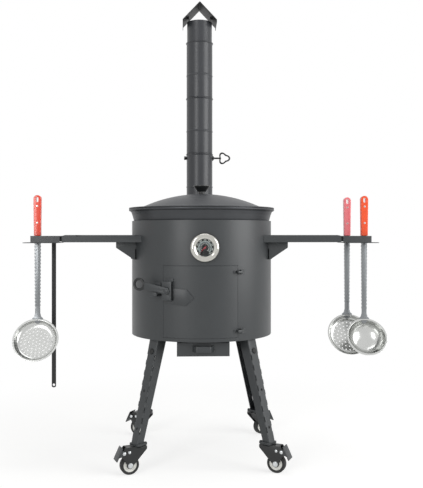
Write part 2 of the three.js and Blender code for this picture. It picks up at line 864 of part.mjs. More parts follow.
function drawerSleeve() {
  const y0 = drawerFrontY + drawerWall + seatGap;
  const y1 = drawerBackY + drawerSlideGap + legSheet;
  const z1 = drumBottomZ - seatGap;
  const around = block(-sleeveOuter, sleeveOuter, y0, y1, sleeveBottomZ, z1);
  const inside = block(
    -sleeveInner,
    sleeveInner,
    y0 - overrun,
    y1 - legSheet,
    sleeveBottomZ + legSheet,
    z1 + overrun,
  );
  const below = block(
    -sleeveInner + sleeveLip,
    sleeveInner - sleeveLip,
    y0 - overrun,
    y1 - legSheet - sleeveLip,
    sleeveBottomZ - overrun,
    sleeveBottomZ + overrun,
  );
  return cut(around, inside, below);
}

function ashDrawer() {
  const half = drawerWidth / 2;
  const tray = block(-half, half, drawerFrontY, drawerBackY, drawerBottomZ, drawerTopZ);
  const face = block(
    -sleeveOuter,
    sleeveOuter,
    drawerFrontY,
    drawerFrontY + drawerWall,
    drawerFaceBottomZ,
    drumBottomZ - seatGap,
  );
  const hollow = block(
    -half + drawerWall,
    half - drawerWall,
    drawerFrontY + drawerWall,
    drawerBackY - drawerWall,
    drawerBottomZ + drawerWall,
    drawerTopZ + overrun,
  );
  return cut(join(tray, face), hollow);
}

function drawerHandle() {
  const half = handleWidth / 2;
  const back = drawerFrontY - seatGap;
  const front = back - handleDepth;
  const flare = handleDepth / 2;
  const bow = outline([
    [-half, back],
    [-half + flare, front],
    [half - flare, front],
    [half, back],
    [half - handleThickness, back],
    [half - flare - handleThickness, front + handleThickness],
    [-half + flare + handleThickness, front + handleThickness],
    [-half + handleThickness, back],
  ]);
  const middle = (drawerFaceBottomZ + drumBottomZ) / 2;
  return prismZ(bow, middle - handleHeight / 2, middle + handleHeight / 2);
}

// Legs: drawn leaning out along +X, then turned to their corners
function legShell() {
  const whole = tapered(legSide(0, legFootZ, legTopZ), 0, 0);
  const spare = legSide(legSheet, legFootZ - overrun, legTopZ + overrun);
  return cut(whole, tapered(spare, legSheet, overrun));
}

function legWebHole(z, radius) {
  return alongX(rod(radius, legTopOuter - legTopDepth, legBottomOuter + overrun)).translate(0, 0, z);
}

function foldSlots() {
  const lean = Math.atan2(legSplay, legRise);
  const side = legSide(legSheet / 2, legFootZ, legTopZ);
  return foldSlotShares.flatMap((share) => {
    const z = legFootZ + share * legRise;
    return [-1, 1].map((hand) => {
      const slot = new THREE.BoxGeometry(foldSlotWidth, foldSlotWidth, foldSlotLength);
      const edge = hand * (legHalfWidth(z) - legSheet / 2);
      return slot.rotateY(-lean).translate(side.outer(z), edge, z);
    });
  });
}

function casterPlate() {
  const half = footPlateSide / 2;
  const z0 = casterHeight - casterPlateThickness;
  const plate = block(swivelReach - half, swivelReach + half, -half, half, z0, legFootZ);
  const race = rod(ballRaceRadius, crownTopZ + seatGap, z0 + seatGap, holeSides);
  const headTop = crownTopZ - crownThickness - seatGap;
  const pin = rod(kingpinRadius, headTop - kingpinHeadThickness / 2, z0);
  const head = hexRod(kingpinHeadRadius, headTop - kingpinHeadThickness, headTop);
  return join(plate, join(race, pin, head).translate(swivelReach, 0, 0));
}

function leg() {
  const holes = legHoleShares.map((share) => legWebHole(legFootZ + share * legRise, legHoleRadius));
  const channel = cut(legShell(), legWebHole(legTopZ - legBoltDrop, legBoltRadius), ...holes, ...foldSlots());
  return join(channel, casterPlate());
}

// Casters: drawn trailing along +X from their own swivel axis, standing on the floor
function casterFork() {
  const z1 = crownTopZ;
  const cheek = new THREE.Shape();
  cheek.moveTo(-crownBack, z1);
  cheek.lineTo(-crownBack, z1 - cheekBossRadius);
  cheek.lineTo(casterTrail - cheekBossRadius, wheelRadius);
  cheek.absarc(casterTrail, wheelRadius, cheekBossRadius, Math.PI, 2 * Math.PI, false);
  cheek.lineTo(brakePinX + brakeArmRadius, brakePinZ - brakeArmRadius);
  cheek.lineTo(brakePinX + brakeArmRadius, brakePinZ);
  cheek.lineTo(brakePinX - brakeCornerTrim, z1);
  cheek.closePath();
  const outerWall = prismY(cheek, -cheekOuter, cheekOuter);
  const space = block(
    -crownBack - overrun,
    brakePinX + brakeArmRadius + overrun,
    -cheekInner,
    cheekInner,
    -overrun,
    z1 - crownThickness,
  );
  const pinHole = rod(kingpinRadius + runGap, z1 - crownThickness - overrun, z1 + overrun, holeSides);
  const crownEnd = block(crownFront, 2 * brakePinX, -cheekInner, cheekInner, 0, z1 + overrun);
  const shell = cut(outerWall, space, pinHole, crownEnd);
  return join(shell, axle(), brakePin());
}

function axle() {
  const end = cheekOuter + axleHeadThickness;
  const inset = cheekThickness / 2;
  const pin = rod(axleRadius, -cheekOuter + inset, cheekOuter - inset);
  const heads = [hexRod(axleHeadRadius, cheekOuter - inset, end), hexRod(axleHeadRadius, -end, -cheekOuter + inset)];
  return alongY(join(pin, ...heads)).translate(casterTrail, 0, wheelRadius);
}

function brakePin() {
  const from = cheekOuter + seatGap + brakeArmThickness + seatGap;
  const to = from + brakeHeadThickness;
  const pin = rod(brakePinRadius, (-from - to) / 2, (from + to) / 2);
  const heads = [rod(brakeHeadRadius, from, to), rod(brakeHeadRadius, -to, -from)];
  return alongY(join(pin, ...heads)).translate(brakePinX, 0, brakePinZ);
}

function casterWheel() {
  const half = wheelWidth / 2;
  const bore = axleRadius + runGap;
  const wheel = turned(
    [
      [bore, -half],
      [wheelHubRadius, -half + wheelDish],
      [wheelRadius - treadRound, -half],
      [wheelRadius, -half + treadRound],
      [wheelRadius, half - treadRound],
      [wheelRadius - treadRound, half],
      [wheelHubRadius, half - wheelDish],
      [bore, half],
    ],
    wheelSides,
  );
  return alongY(wheel).translate(casterTrail, 0, wheelRadius);
}

function brakePedal() {
  const armInner = cheekOuter + seatGap;
  const armOuter = armInner + brakeArmThickness;
  const top = [brakePinX + brakePadTopReach, brakePinZ + brakePadTopRise];
  const foot = [brakePinX + brakePadFootReach, brakePinZ - brakePadDrop];
  const along = new THREE.Vector2(foot[0] - top[0], foot[1] - top[1]).normalize();
  const outward = (share) => [
    top[0] + (foot[0] - top[0]) * share - along.y * brakePadThickness,
    top[1] + (foot[1] - top[1]) * share + along.x * brakePadThickness,
  ];
  const pad = outline([top, foot, outward(1), outward(0)]);
  const arm = new THREE.Shape();
  arm.absarc(brakePinX, brakePinZ, brakeArmRadius, Math.PI / 2, (3 * Math.PI) / 2, false);
  for (const share of brakeArmShares) arm.lineTo(...outward(share));
  arm.closePath();
  const arms = [prismY(arm, armInner, armOuter), prismY(arm, -armOuter, -armInner)];
  const hole = alongY(rod(brakePinRadius + runGap, -armOuter - overrun, armOuter + overrun, holeSides));
  const plate = prismY(pad, -brakePadHalfWidth, brakePadHalfWidth);
  return cut(join(plate, ...arms), hole.translate(brakePinX, 0, brakePinZ));
}

// Cauldron and lid
function bowlArc(radius, topZ, depth, from, steps) {
  return Array.from({ length: steps + 1 }, (_, i) => {
    const angle = from + (i / steps) * (Math.PI / 2 - from);
    return [radius * Math.cos(angle), topZ - depth * Math.sin(angle)];
  });
}

function cauldron() {
  const shoulderZ = drumTopZ - cauldronShoulderDrop;
  const shoulderRadius = cauldronSeatRadius - cauldronShoulderInset;
  const neckRadius = cauldronSeatRadius + cauldronNeckFlare;
  const rimBottomZ = cauldronRimZ - cauldronRimThickness;
  const steps = 4;
  const outside = [
    [cauldronRimRadius, cauldronRimZ],
    [cauldronRimRadius, rimBottomZ],
    [neckRadius, rimBottomZ],
    [cauldronSeatRadius, drumTopZ],
    ...bowlArc(shoulderRadius, shoulderZ, cauldronBowlDepth, 0, steps),
  ];
  const inside = [
    ...bowlArc(shoulderRadius - cauldronWall, shoulderZ, cauldronBowlDepth - cauldronWall, 0, steps).reverse(),
    [cauldronSeatRadius - cauldronWall, drumTopZ],
    [neckRadius - cauldronWall, rimBottomZ],
    [neckRadius - cauldronWall, cauldronRimZ],
  ];
  return turned([...outside, ...inside], drumSides);
}

const lidBottomZ = cauldronRimZ + seatGap;
const domeRadius = cauldronRimRadius - lidDomeInset;
const lidTopZ = lidBottomZ + lidThickness + lidDomeRise;

function lid() {
  const brimTopZ = lidBottomZ + lidThickness;
  const sphere = (domeRadius ** 2 + lidDomeRise ** 2) / (2 * lidDomeRise);
  const steps = 4;
  const dome = (offset) =>
    Array.from({ length: steps }, (_, i) => {
      const r = domeRadius + ((lidApexRadius - domeRadius) * i) / (steps - 1);
      return [r, lidTopZ - offset - sphere + Math.sqrt(sphere ** 2 - r ** 2)];
    });
  const lipOuter = cauldronSeatRadius + cauldronNeckFlare - cauldronWall - seatGap;
  const apexZ = dome(0).at(-1)[1];
  const outside = [[cauldronRimRadius, lidBottomZ], [cauldronRimRadius, brimTopZ], ...dome(0), [0, apexZ]];
  const inside = [
    [0, apexZ - lidThickness],
    ...dome(lidThickness).reverse(),
    [lipOuter - lidThickness, lidBottomZ],
    [lipOuter - lidThickness, lidBottomZ - lidLipDepth],
    [lipOuter, lidBottomZ - lidLipDepth],
    [lipOuter, lidBottomZ],
  ];
  return turned([...outside, ...inside], drumSides);
}

function lidKnob() {
  const z0 = lidTopZ + seatGap;
  const coneZ = z0 + knobNeckHeight;
  const topZ = coneZ + knobConeHeight;
  return turned(
    [
      [0, z0],
      [knobNeckRadius, z0],
      [knobNeckRadius, coneZ],
      [knobFootRadius, coneZ],
      [knobTopRadius, topZ - knobCrown],
      [knobTopRadius, topZ - knobCrown / 2],
      [knobTopRadius - knobCrown, topZ],
      [0, topZ],
    ],
    pipeSides,
  );
}

// Flue stub on the drum's back, and the pipes that stand on it
function toChimney(geometry) {
  return geometry.translate(0, chimneyY, 0);
}

function beadOutline(z) {
  const proud = pipeRadius + pipeBeadProud;
  return [
    [pipeRadius, z - pipeBeadHeight],
    [proud, z - pipeBeadHeight / 2],
    [spigotRadius, z - seatGap],
  ];
}

function flueStub() {
  const bottom = fluePortZ - flueBottomDrop;
  const top = flueCollarZ + pipeSpigot;
  const outside = turned(
    [[0, bottom], [pipeRadius, bottom], ...beadOutline(flueCollarZ), [spigotRadius, top], [0, top]],
    pipeSides,
  );
  const bore = rod(spigotRadius - pipeWall, bottom + drumWall, top + overrun, pipeSides);
  const halfWidth = fluePortWidth / 2;
  const halfHeight = fluePortHeight / 2;
  const inner = drumRadius + seatGap;
  const duct = block(
    -halfWidth - drumWall,
    halfWidth + drumWall,
    0,
    chimneyY,
    fluePortZ - halfHeight - drumWall,
    fluePortZ + halfHeight + drumWall,
  );
  const ductBore = block(
    -halfWidth,
    halfWidth,
    0,
    chimneyY,
    fluePortZ - halfHeight,
    fluePortZ + halfHeight,
  );
  const flangeHalf = halfWidth + flueFlangeMargin;
  const flange = common(
    drumBlank(inner, inner + drumWall, bottom, fluePortZ + halfHeight + flueFlangeMargin),
    block(-flangeHalf, flangeHalf, 0, 2 * drumRadius, bottom, fluePortZ + halfHeight + flueFlangeMargin),
  );
  const drumSpace = drumBlank(0, inner, drumBottomZ, drumTopZ + overrun);
  const shell = join(toChimney(outside), cut(duct, drumSpace), flange);
  return cut(shell, toChimney(bore), ductBore);
}

function chimneyPipe(foot) {
  const lowBead = foot + lowBeadHeight;
  const bead = foot + pipePitch;
  const top = foot + pipeLength;
  const inner = pipeRadius - pipeWall;
  return toChimney(
    turned(
      [
        [pipeRadius, foot],
        [pipeRadius, lowBead - lowBeadHalfHeight],
        [pipeRadius + lowBeadProud, lowBead],
        [pipeRadius, lowBead + lowBeadHalfHeight],
        ...beadOutline(bead),
        [spigotRadius, top],
        [spigotRadius - pipeWall, top],
        [spigotRadius - pipeWall, bead - pipeBeadHeight / 2],
        [inner, bead - pipeBeadHeight],
        [inner, foot],
      ],
      pipeSides,
    ),
  );
}

function lowerPipe() {
  const hole = alongX(rod(damperRodRadius + runGap, -2 * pipeRadius, 2 * pipeRadius, holeSides));
  return cut(chimneyPipe(flueCollarZ), toChimney(hole.translate(0, 0, damperZ)));
}

// Damper: a round flap on a rod through the lowest pipe, with a trefoil loop to turn it by
function damperPlate() {
  const radius = spigotRadius - pipeWall - damperPlateGap;
  const y0 = damperRodRadius + seatGap;
  const disc = alongY(rod(radius, y0, y0 + damperPlateThickness, pipeSides));
  return toChimney(disc.translate(0, 0, damperZ));
}

function damperLoop(x) {
  const points = [];
  const steps = 20;
  const openShare = 0.02; // left open where the loop meets the rod
  for (let i = 0; i <= steps; i += 1) {
    const turn = openShare + (i / steps) * (1 - 2 * openShare);
    const angle = Math.PI + turn * 2 * Math.PI;
    const reach = damperLoopRadius * (1 + damperLobeShare * Math.cos(damperLobes * angle));
    points.push(new THREE.Vector3(reach * Math.cos(angle), 0, reach * Math.sin(angle)));
  }
  const path = new THREE.CatmullRomCurve3(points);
  const section = new THREE.Shape().absarc(0, 0, damperRodRadius, 0, 2 * Math.PI, false);
  const settings = { steps, extrudePath: path, curveSegments: arcSteps };
  return new THREE.ExtrudeGeometry(section, settings).translate(x, 0, 0);
}

function damperRod() {
  const nutEnd = -pipeRadius - seatGap;
  const loopStart = pipeRadius + damperRodReach;
  const shaft = rod(damperRodRadius, nutEnd - damperNutThickness, loopStart + damperRodRadius);
  const nut = hexRod(damperNutRadius, nutEnd - damperNutThickness, nutEnd);
  const bushFace = pipeRadius + seatGap;
  const bush = turned(
    [
      [0, bushFace],
      [damperBushRadius, bushFace],
      [damperRodRadius + seatGap, bushFace + damperBushLength],
      [0, bushFace + damperBushLength],
    ],
    holeSides,
  );
  const loopCentre = loopStart + damperLoopRadius * (1 - damperLobeShare);
  const along = alongX(join(shaft, nut, bush));
  return toChimney(join(along, damperLoop(loopCentre)).translate(0, 0, damperZ));
}

// Rain cap: a folded ridge roof, held by two tabs that push into the top pipe
function rainCap() {
  const ridge = chimneyTopZ + capRise;
  const eave = ridge - capDrop;
  const lean = Math.hypot(capHalfWidth, capDrop) / capHalfWidth;
  const under = capSheet * lean;
  const roof = outline([
    [0, ridge],
    [-capHalfWidth, eave],
    [-capHalfWidth, eave - capEaveFlange],
    [-capHalfWidth + capSheet, eave - capEaveFlange],
    [-capHalfWidth + capSheet, eave - under + (capSheet * capDrop) / capHalfWidth],
    [0, ridge - under],
    [capHalfWidth - capSheet, eave - under + (capSheet * capDrop) / capHalfWidth],
    [capHalfWidth - capSheet, eave - capEaveFlange],
    [capHalfWidth, eave - capEaveFlange],
    [capHalfWidth, eave],
  ]);
  const half = capTabWidth / 2;
  const wall = (spigotRadius - pipeWall) * Math.cos(Math.PI / pipeSides);
  const outer = Math.sqrt(wall ** 2 - half ** 2) - seatGap;
  const roofZ = ridge - under / 2 - (outer * capDrop) / capHalfWidth;
  const tabs = [-1, 1].map((hand) => {
    const from = hand > 0 ? outer - capSheet : -outer;
    return block(from, from + capSheet, -half, half, chimneyTopZ - capTabReach, roofZ);
  });
  return toChimney(join(prismY(roof, -capDepth / 2, capDepth / 2), ...tabs));
}

// Shelves: the right one is drawn, and hand = -1 gives the left one
function handed(geometry, hand) {
  if (hand > 0) return geometry;
  const mirrored = toSolid(geometry).mirror([1, 0, 0]);
  return toGeometry(mirrored);
}

// The channels run from the gate out to where the utensils hang.
function channels(from, z0, z1) {
  return [[frontChannel, frontHang], [backChannel, backHang]].map(([y, hang]) => {
    const half = channelWidth / 2;
    return block(from, hang + stemWidth / 2 + channelSlack, y - half, y + half, z0, z1);
  });
}

function shelf() {
  const t = shelfSheet;
  const inner = drumRadius + seatGap;
  const stepX = shelfEndX - shelfEndLength;
  const half = shelfHalfDepth;
  const z0 = shelfFlangeZ - overrun;
  const z1 = shelfTopZ + overrun;
  const slab = block(0, shelfEndX, -half, half, shelfFlangeZ, shelfTopZ);
  const hollow = block(0, stepX, -half + t, half - t, z0, shelfTopZ - t);
  const endHollow = block(0, shelfEndX - t, -half + t, half - t, z0, shelfEndTopZ - t);
  const wall = drumBlank(0, inner + t, z0, z1);
  const under = join(cut(hollow, wall), cut(endHollow, wall));
  const step = block(stepX, shelfEndX + overrun, -half - overrun, half + overrun, shelfEndTopZ, z1);
  const drum = drumBlank(0, inner, z0, z1);
  const gate = block(stepX, stepX + gateWidth, -half - overrun, backChannel + channelWidth / 2, z0, z1);
  return cut(slab, under, step, drum, gate, ...channels(stepX, z0, z1));
}

function utensilRack() {
  const z0 = rackTopZ - rackSheet;
  const from = shelfEndX - rackInset;
  const half = shelfHalfDepth;
  const plate = block(from, shelfEndX + rackProud, -half, rackDepth - half, z0, rackTopZ);
  return cut(plate, ...channels(from - overrun, z0 - overrun, rackTopZ + overrun));
}

function shelfBracket() {
  const inner = drumRadius + seatGap;
  const topZ = shelfTopZ - shelfSheet - seatGap;
  const footZ = shelfTopZ - bracketDrop;
  const noseZ = topZ - bracketNose;
  const nose = drumRadius + bracketReach;
  const heel = Math.sqrt(drumRadius ** 2 - gussetOffset ** 2) + bracketHeel;
  const gusset = outline([[0, footZ], [heel, footZ], [nose, noseZ], [nose, topZ], [0, topZ]]);
  const gussets = [-1, 1].map((hand) => {
    const middle = hand * gussetOffset;
    return prismY(gusset, middle - gussetThickness / 2, middle + gussetThickness / 2);
  });
  const half = gussetOffset + gussetThickness / 2;
  const plate = common(
    drumBlank(inner, inner + gussetThickness, footZ, footZ + bracketPlateHeight),
    block(0, 2 * drumRadius, -half, half, footZ, footZ + bracketPlateHeight),
  );
  const drum = drumBlank(0, inner, footZ - overrun, topZ + overrun);
  const shelfWall = drumBlank(0, inner + shelfSheet + seatGap, shelfFlangeZ - seatGap, topZ + overrun);
  return join(plate, ...gussets.map((side) => cut(side, drum, shelfWall)));
}

// Utensils: drawn about their own hanging point, the top face of the shelf's end at z = 0
function bowlShell(radius, flatRadius, depth, tilt) {
  const steps = 3;
  const side = (inset) =>
    Array.from({ length: steps + 1 }, (_, i) => {
      const angle = (i / steps) * (Math.PI / 2);
      const reach = radius - inset - flatRadius;
      return [flatRadius + reach * Math.sin(angle), -(depth - inset) * Math.cos(angle)];
    });
  const outside = [[0, -depth], ...side(0)];
  const inside = [...side(bowlSheet).reverse(), [0, -depth + bowlSheet]];
  return turned([...outside, ...inside], bowlSides).rotateX(tilt);
}

// The rim's highest point comes under the stem.
function bowlPlace(radius, tilt, centreDrop) {
  return [0, -radius * Math.cos(tilt), -centreDrop];
}

function skimmerHoles() {
  const drill = () => rod(skimmerHoleRadius, -skimmerDepth * 2, skimmerDepth, 2 * arcSteps);
  const holes = [drill()];
  for (let ring = 1; ring <= skimmerRings; ring += 1) {
    const count = ring * skimmerHolesPerRing;
    for (let i = 0; i < count; i += 1) {
      const angle = (i / count) * 2 * Math.PI;
      holes.push(drill().translate(ring * skimmerRingPitch, 0, 0).rotateZ(angle));
    }
  }
  return holes;
}

function utensilStem(radius, tilt, centreDrop) {
  const rimTop = -centreDrop + radius * Math.sin(tilt);
  const half = stemWidth / 2;
  const flareHalf = stemFlareWidth / 2;
  const thick = stemThickness / 2;
  const blade = outline([
    [-flareHalf, rimTop - bowlRimOverlap],
    [flareHalf, rimTop - bowlRimOverlap],
    [half, rimTop + stemFlareLength],
    [half, -seatGap],
    [-half, -seatGap],
    [-half, rimTop + stemFlareLength],
  ]);
  const tang = block(-tangWidth / 2, tangWidth / 2, -thick, thick, -2 * seatGap, tangLength);
  return join(prismY(blade, -thick, thick), tang);
}

function utensilSteel(bowl, holes) {
  const { radius, flatRadius, depth, tilt, centreDrop } = bowl;
  const place = bowlPlace(radius, tilt, centreDrop);
  const shell = bowlShell(radius, flatRadius, depth, tilt).translate(...place);
  const drills = holes.map((hole) => hole.rotateX(tilt).translate(...place));
  const mouth = rod(radius - 2 * bowlSheet, 0, radius, bowlSides).rotateX(tilt).translate(...place);
  const stem = cut(utensilStem(radius, tilt, centreDrop), mouth);
  return cut(join(shell, stem), ...drills);
}

function utensilGrip() {
  const half = gripWidth / 2;
  const shape = new THREE.Shape();
  shape.moveTo(-half, seatGap);
  shape.lineTo(half, seatGap);
  shape.lineTo(half, gripLength - half);
  shape.absarc(0, gripLength - half, half, 0, Math.PI, false);
  shape.closePath();
  const body = prismY(shape, -gripThickness / 2, gripThickness / 2);
  const pocket = block(
    -tangWidth / 2 - seatGap,
    tangWidth / 2 + seatGap,
    -stemThickness / 2 - seatGap,
    stemThickness / 2 + seatGap,
    -overrun,
    tangLength + seatGap,
  );
  const hole = alongY(rod(gripHoleRadius, -gripThickness, gripThickness));
  return cut(body, pocket, hole.translate(0, 0, gripLength - gripHoleInset));
}

function addUtensil(name, steel, gripMaterial, x, y) {
  const hanging = new THREE.Group();
  hanging.position.set(x, y, shelfEndTopZ);
  stove.add(hanging);
  add(name + "_steel", steel, stainlessSteel, hanging);
  add(name + "_grip", utensilGrip(), gripMaterial, hanging);
}

// The poker's bent top lies on the left rack, and its bar goes down through the rack's back channel.
function poker() {
  const seat = rackTopZ + seatGap;
  const top = seat + pokerThickness;
  const bottom = top - pokerLength;
  const back = backChannel + pokerThickness / 2;
  const front = backChannel - pokerThickness / 2;
  const bent = outline([
    [front, bottom],
    [back, bottom],
    [back, seat],
    [back + pokerHookReach, seat],
    [back + pokerHookReach, top],
    [front, top],
  ]);
  const eyeZ = bottom + pokerEyeRadius;
  const half = pokerWidth / 2;
  const face = join(
    block(-half, half, front - overrun, back + 2 * pokerHookReach, eyeZ, top + overrun),
    alongY(rod(pokerEyeRadius, front - overrun, back + overrun, holeSides)).translate(0, 0, eyeZ),
  );
  const hole = alongY(rod(pokerEyeHole, front - overrun, back + overrun)).translate(0, 0, eyeZ);
  return cut(common(prismX(bent, -pokerWidth, pokerWidth), face), hole).translate(-backHang, 0, 0);
}

// Assembly
add("drum_shell", drumShell(), coatedSteel);
add("drum_base", drumBase(), coatedSteel);
add("support_ring", drumBlank(hoopInner, drumInner - seatGap, drumTopZ - hoopHeight, drumTopZ), coatedSteel);
add("fire_grate", fireGrate(), castIron);
add("flue_stub", flueStub(), coatedPipe);

add("gauge_case", gaugeCase(), chromedSteel);
add("gauge_dial", gaugeDial(), dialBlack);
add("gauge_needle", gaugeNeedle(), needleRed);
add("gauge_glass", gaugeGlass(), clearGlass);
add("gauge_nut", gaugeNut(), chromedSteel);

add("fire_door", fireDoor(), coatedSteel);
for (const [place, z] of Object.entries(hingeHeights())) add("hinge_post_" + place, hingePost(z), coatedSteel);
add("latch_plate", latchPlate(), coatedSteel);
add("latch_pivot", latchPivot(), coatedSteel);
add("latch_lever", latchLever(), coatedSteel);
add("latch_keeper", latchKeeper(), coatedSteel);

add("drawer_sleeve", drawerSleeve(), coatedSteel);
add("ash_drawer", ashDrawer(), coatedSteel);
add("drawer_handle", drawerHandle(), coatedSteel);

for (const [corner, degrees] of Object.entries(legAngles)) {
  const angle = THREE.MathUtils.degToRad(degrees);
  const legMesh = add("leg_" + corner, leg(), coatedSteel);
  legMesh.rotation.z = angle;
  const caster = new THREE.Group();
  caster.position.set(swivelReach * Math.cos(angle), swivelReach * Math.sin(angle), 0);
  caster.rotation.z = THREE.MathUtils.degToRad(casterYaws[corner]);
  stove.add(caster);
  add("caster_fork_" + corner, casterFork(), blackSteel, caster);
  add("caster_wheel_" + corner, casterWheel(), wheelBlack, caster);
  add("brake_pedal_" + corner, brakePedal(), coatedSteel, caster);
}

add("cauldron", cauldron(), castIron);
add("lid", lid(), castIron);
add("lid_knob", lidKnob(), blackSteel);

add("chimney_pipe_lower", lowerPipe(), coatedPipe);
add("chimney_pipe_middle", chimneyPipe(flueCollarZ + pipePitch), coatedPipe);
add("chimney_pipe_upper", chimneyPipe(flueCollarZ + 2 * pipePitch), coatedPipe);
add("damper_plate", damperPlate(), blackSteel);
add("damper_rod", damperRod(), blackSteel);
add("rain_cap", rainCap(), coatedPipe);

for (const [side, hand] of [["left", -1], ["right", 1]]) {
  add("shelf_" + side, handed(shelf(), hand), coatedSteel);
  add("utensil_rack_" + side, handed(utensilRack(), hand), coatedSteel);
  add("shelf_bracket_" + side, handed(shelfBracket(), hand), coatedSteel);
}

const skimmer = {
  radius: skimmerRadius,
  flatRadius: skimmerFlatRadius,
  depth: skimmerDepth,
  tilt: skimmerTilt,
  centreDrop: skimmerCentreDrop,
};
const ladle = {
  radius: ladleRadius,
  flatRadius: ladleFlatRadius,
  depth: ladleDepth,
  tilt: ladleTilt,
  centreDrop: ladleCentreDrop,
};
addUtensil("skimmer_left", utensilSteel(skimmer, skimmerHoles()), gripRed, -frontHang, frontChannel);
addUtensil("skimmer_right", utensilSteel(skimmer, skimmerHoles()), gripPink, backHang, backChannel);
addUtensil("ladle", utensilSteel(ladle, []), gripOrange, frontHang, frontChannel);
add("poker", poker(), blackSteel);

// The part's own frame has its origin on the floor, under the middle of the whole stove.
stove.updateMatrixWorld(true);
const extent = new THREE.Box3().setFromObject(stove, true);
const middle = extent.getCenter(new THREE.Vector3());
const standing = new THREE.Group();
standing.add(stove);
stove.position.set(-middle.x, -middle.y, -extent.min.z);

export default standing;
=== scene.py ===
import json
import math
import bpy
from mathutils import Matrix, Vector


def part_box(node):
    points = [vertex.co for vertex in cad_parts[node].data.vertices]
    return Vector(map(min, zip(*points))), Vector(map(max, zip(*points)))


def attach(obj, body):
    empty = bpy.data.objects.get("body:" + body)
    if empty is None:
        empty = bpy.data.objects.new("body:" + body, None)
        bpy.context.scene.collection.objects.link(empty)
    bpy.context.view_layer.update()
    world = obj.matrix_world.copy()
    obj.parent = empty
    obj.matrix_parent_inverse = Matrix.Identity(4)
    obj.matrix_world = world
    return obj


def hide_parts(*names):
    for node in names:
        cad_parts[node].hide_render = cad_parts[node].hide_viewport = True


bl_info = {
    "name": "Cauldron stove",
    "version": (1, 0, 0),
    "blender": (4, 5, 0),
    "location": "3D View > Sidebar > Stove",
    "description": "Builds the pieces, finishes and stage of a wheeled cauldron stove on its packed frame",
    "category": "Object",
}

import bpy
from bpy.props import FloatProperty, FloatVectorProperty, IntProperty, PointerProperty
from mathutils import Matrix, Vector

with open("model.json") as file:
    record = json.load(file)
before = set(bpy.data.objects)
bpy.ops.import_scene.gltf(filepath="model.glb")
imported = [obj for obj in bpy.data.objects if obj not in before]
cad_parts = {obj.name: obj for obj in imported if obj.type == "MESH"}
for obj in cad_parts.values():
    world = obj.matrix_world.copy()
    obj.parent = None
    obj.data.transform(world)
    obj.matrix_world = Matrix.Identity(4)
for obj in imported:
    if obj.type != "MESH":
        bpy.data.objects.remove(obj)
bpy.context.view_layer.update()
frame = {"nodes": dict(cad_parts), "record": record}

# Pieces are drawn in millimetres about the drum's axis, with the floor at zero, and put in the frame's
# metres when they are finished. In a list of corners, a third number is the radius that rounds one.
MM = 0.001
DRUM_LOW, DRUM_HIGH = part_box("drum_shell")
DRUM_AXIS = Vector(((DRUM_LOW.x + DRUM_HIGH.x) / 2, (DRUM_LOW.y + DRUM_HIGH.y) / 2, 0))
POLE = 0.004  # radius of a ring that is merged to one point on the axis
MERGE = 2.5 * POLE  # points closer than this are one
CORNER_STEPS = 4  # straight parts in a rounded corner
GAP = 0.3  # between pieces that touch
FAR = 300  # a tool's reach where it has to pass through the whole drum

# How the edges of cut sheet are rounded: width, segments and least angle in degrees
SHARP_EDGE = (0.25, 1, 60)
THIN_EDGE = (0.4, 1, 50)
CUT_EDGE = (0.5, 2, 50)

# Drum
DRUM_R, DRUM_INNER = 200, 198
DRUM_SHEET = DRUM_R - DRUM_INNER
DRUM_BOTTOM, DRUM_TOP = DRUM_LOW.z / MM, DRUM_HIGH.z / MM
SKIN = DRUM_R + GAP  # inner face of what lies on the drum
DEEP = DRUM_R - 1  # where a solid that stands on the drum starts, before it is cut off at the skin
PORT_HALF, PORT_LOW, PORT_TOP = 35, 560, 620  # the flue's way out

# Fire door, its hinges and its latch
DOOR_LEFT, DOOR_RIGHT = math.radians(-32), math.radians(27.1)
DOOR_LOW, DOOR_TOP = 357, 547
HINGE_HEIGHTS = {"upper": 530, "lower": 374}
HINGE_ANGLE = math.radians(29.3)
HINGE_R = 206.3
HINGE_PLACE = (HINGE_R * math.sin(HINGE_ANGLE), -HINGE_R * math.cos(HINGE_ANGLE))
HINGE_PIN_R = 2.5
KNUCKLE_R, KNUCKLE_BORE = 4.8, 2.8
HINGE_SHEET = 2
LATCH_ANGLE = math.radians(-27)
LATCH_Z = 481
LATCH_BACK = 215  # drum's axis to the lever's back
LATCH_SLOPE, PLATE_SLOPE = math.radians(11), math.radians(5)
LATCH_SHEET, LEVER_SHEET = 2.5, 3.5
LATCH_BAND = (420, 520)  # heights between which the plate and the bridge's flanges lie
LATCH_HOLE_R = 4.3
KEEPER_LOW, KEEPER_LIP_TOP = 466.3, 476.4
KEEPER_SIDES = (-47, -25)

# Gauge, drawn about its own axis, with heights counted from the drum's axis
GAUGE_ANGLE = math.asin(3 / DRUM_R)
GAUGE_Z = 595
GAUGE_STEM_R = 4.8
DIAL_R, DIAL_FACE = 23, 207.1
INK = 0.06
DIAL_START, DIAL_SWEEP = 225, 270

# Cauldron and lid
RIM_R, RIM_TOP = 209, 702
LID_LOW, LID_SHEET, LID_RISE, LID_DOME_R = RIM_TOP + GAP, 3.2, 40.5, 176

# Chimney
PIPE_R, SPIGOT_R = 42, 40.5
PIPE_WALL = 1.2
PIPE_SIDES = 72
CHIMNEY_Y = 262
PIPE_FEET = (712, 893, 1074)
PIPE_LENGTH, PIPE_PITCH = 246, 181
STUB_LOW, FLANGE_TOP = 541, 644
DAMPER_Z = 879
DAMPER_ROD_R, DAMPER_LOOP_R = 2.8, 15
DAMPER_HOLE_R = DAMPER_ROD_R + GAP
CAP_Z, CAP_RISE = 1377, 58

# Ash drawer
TRAY_FRONT = -170
TRAY_TOP = 344.4

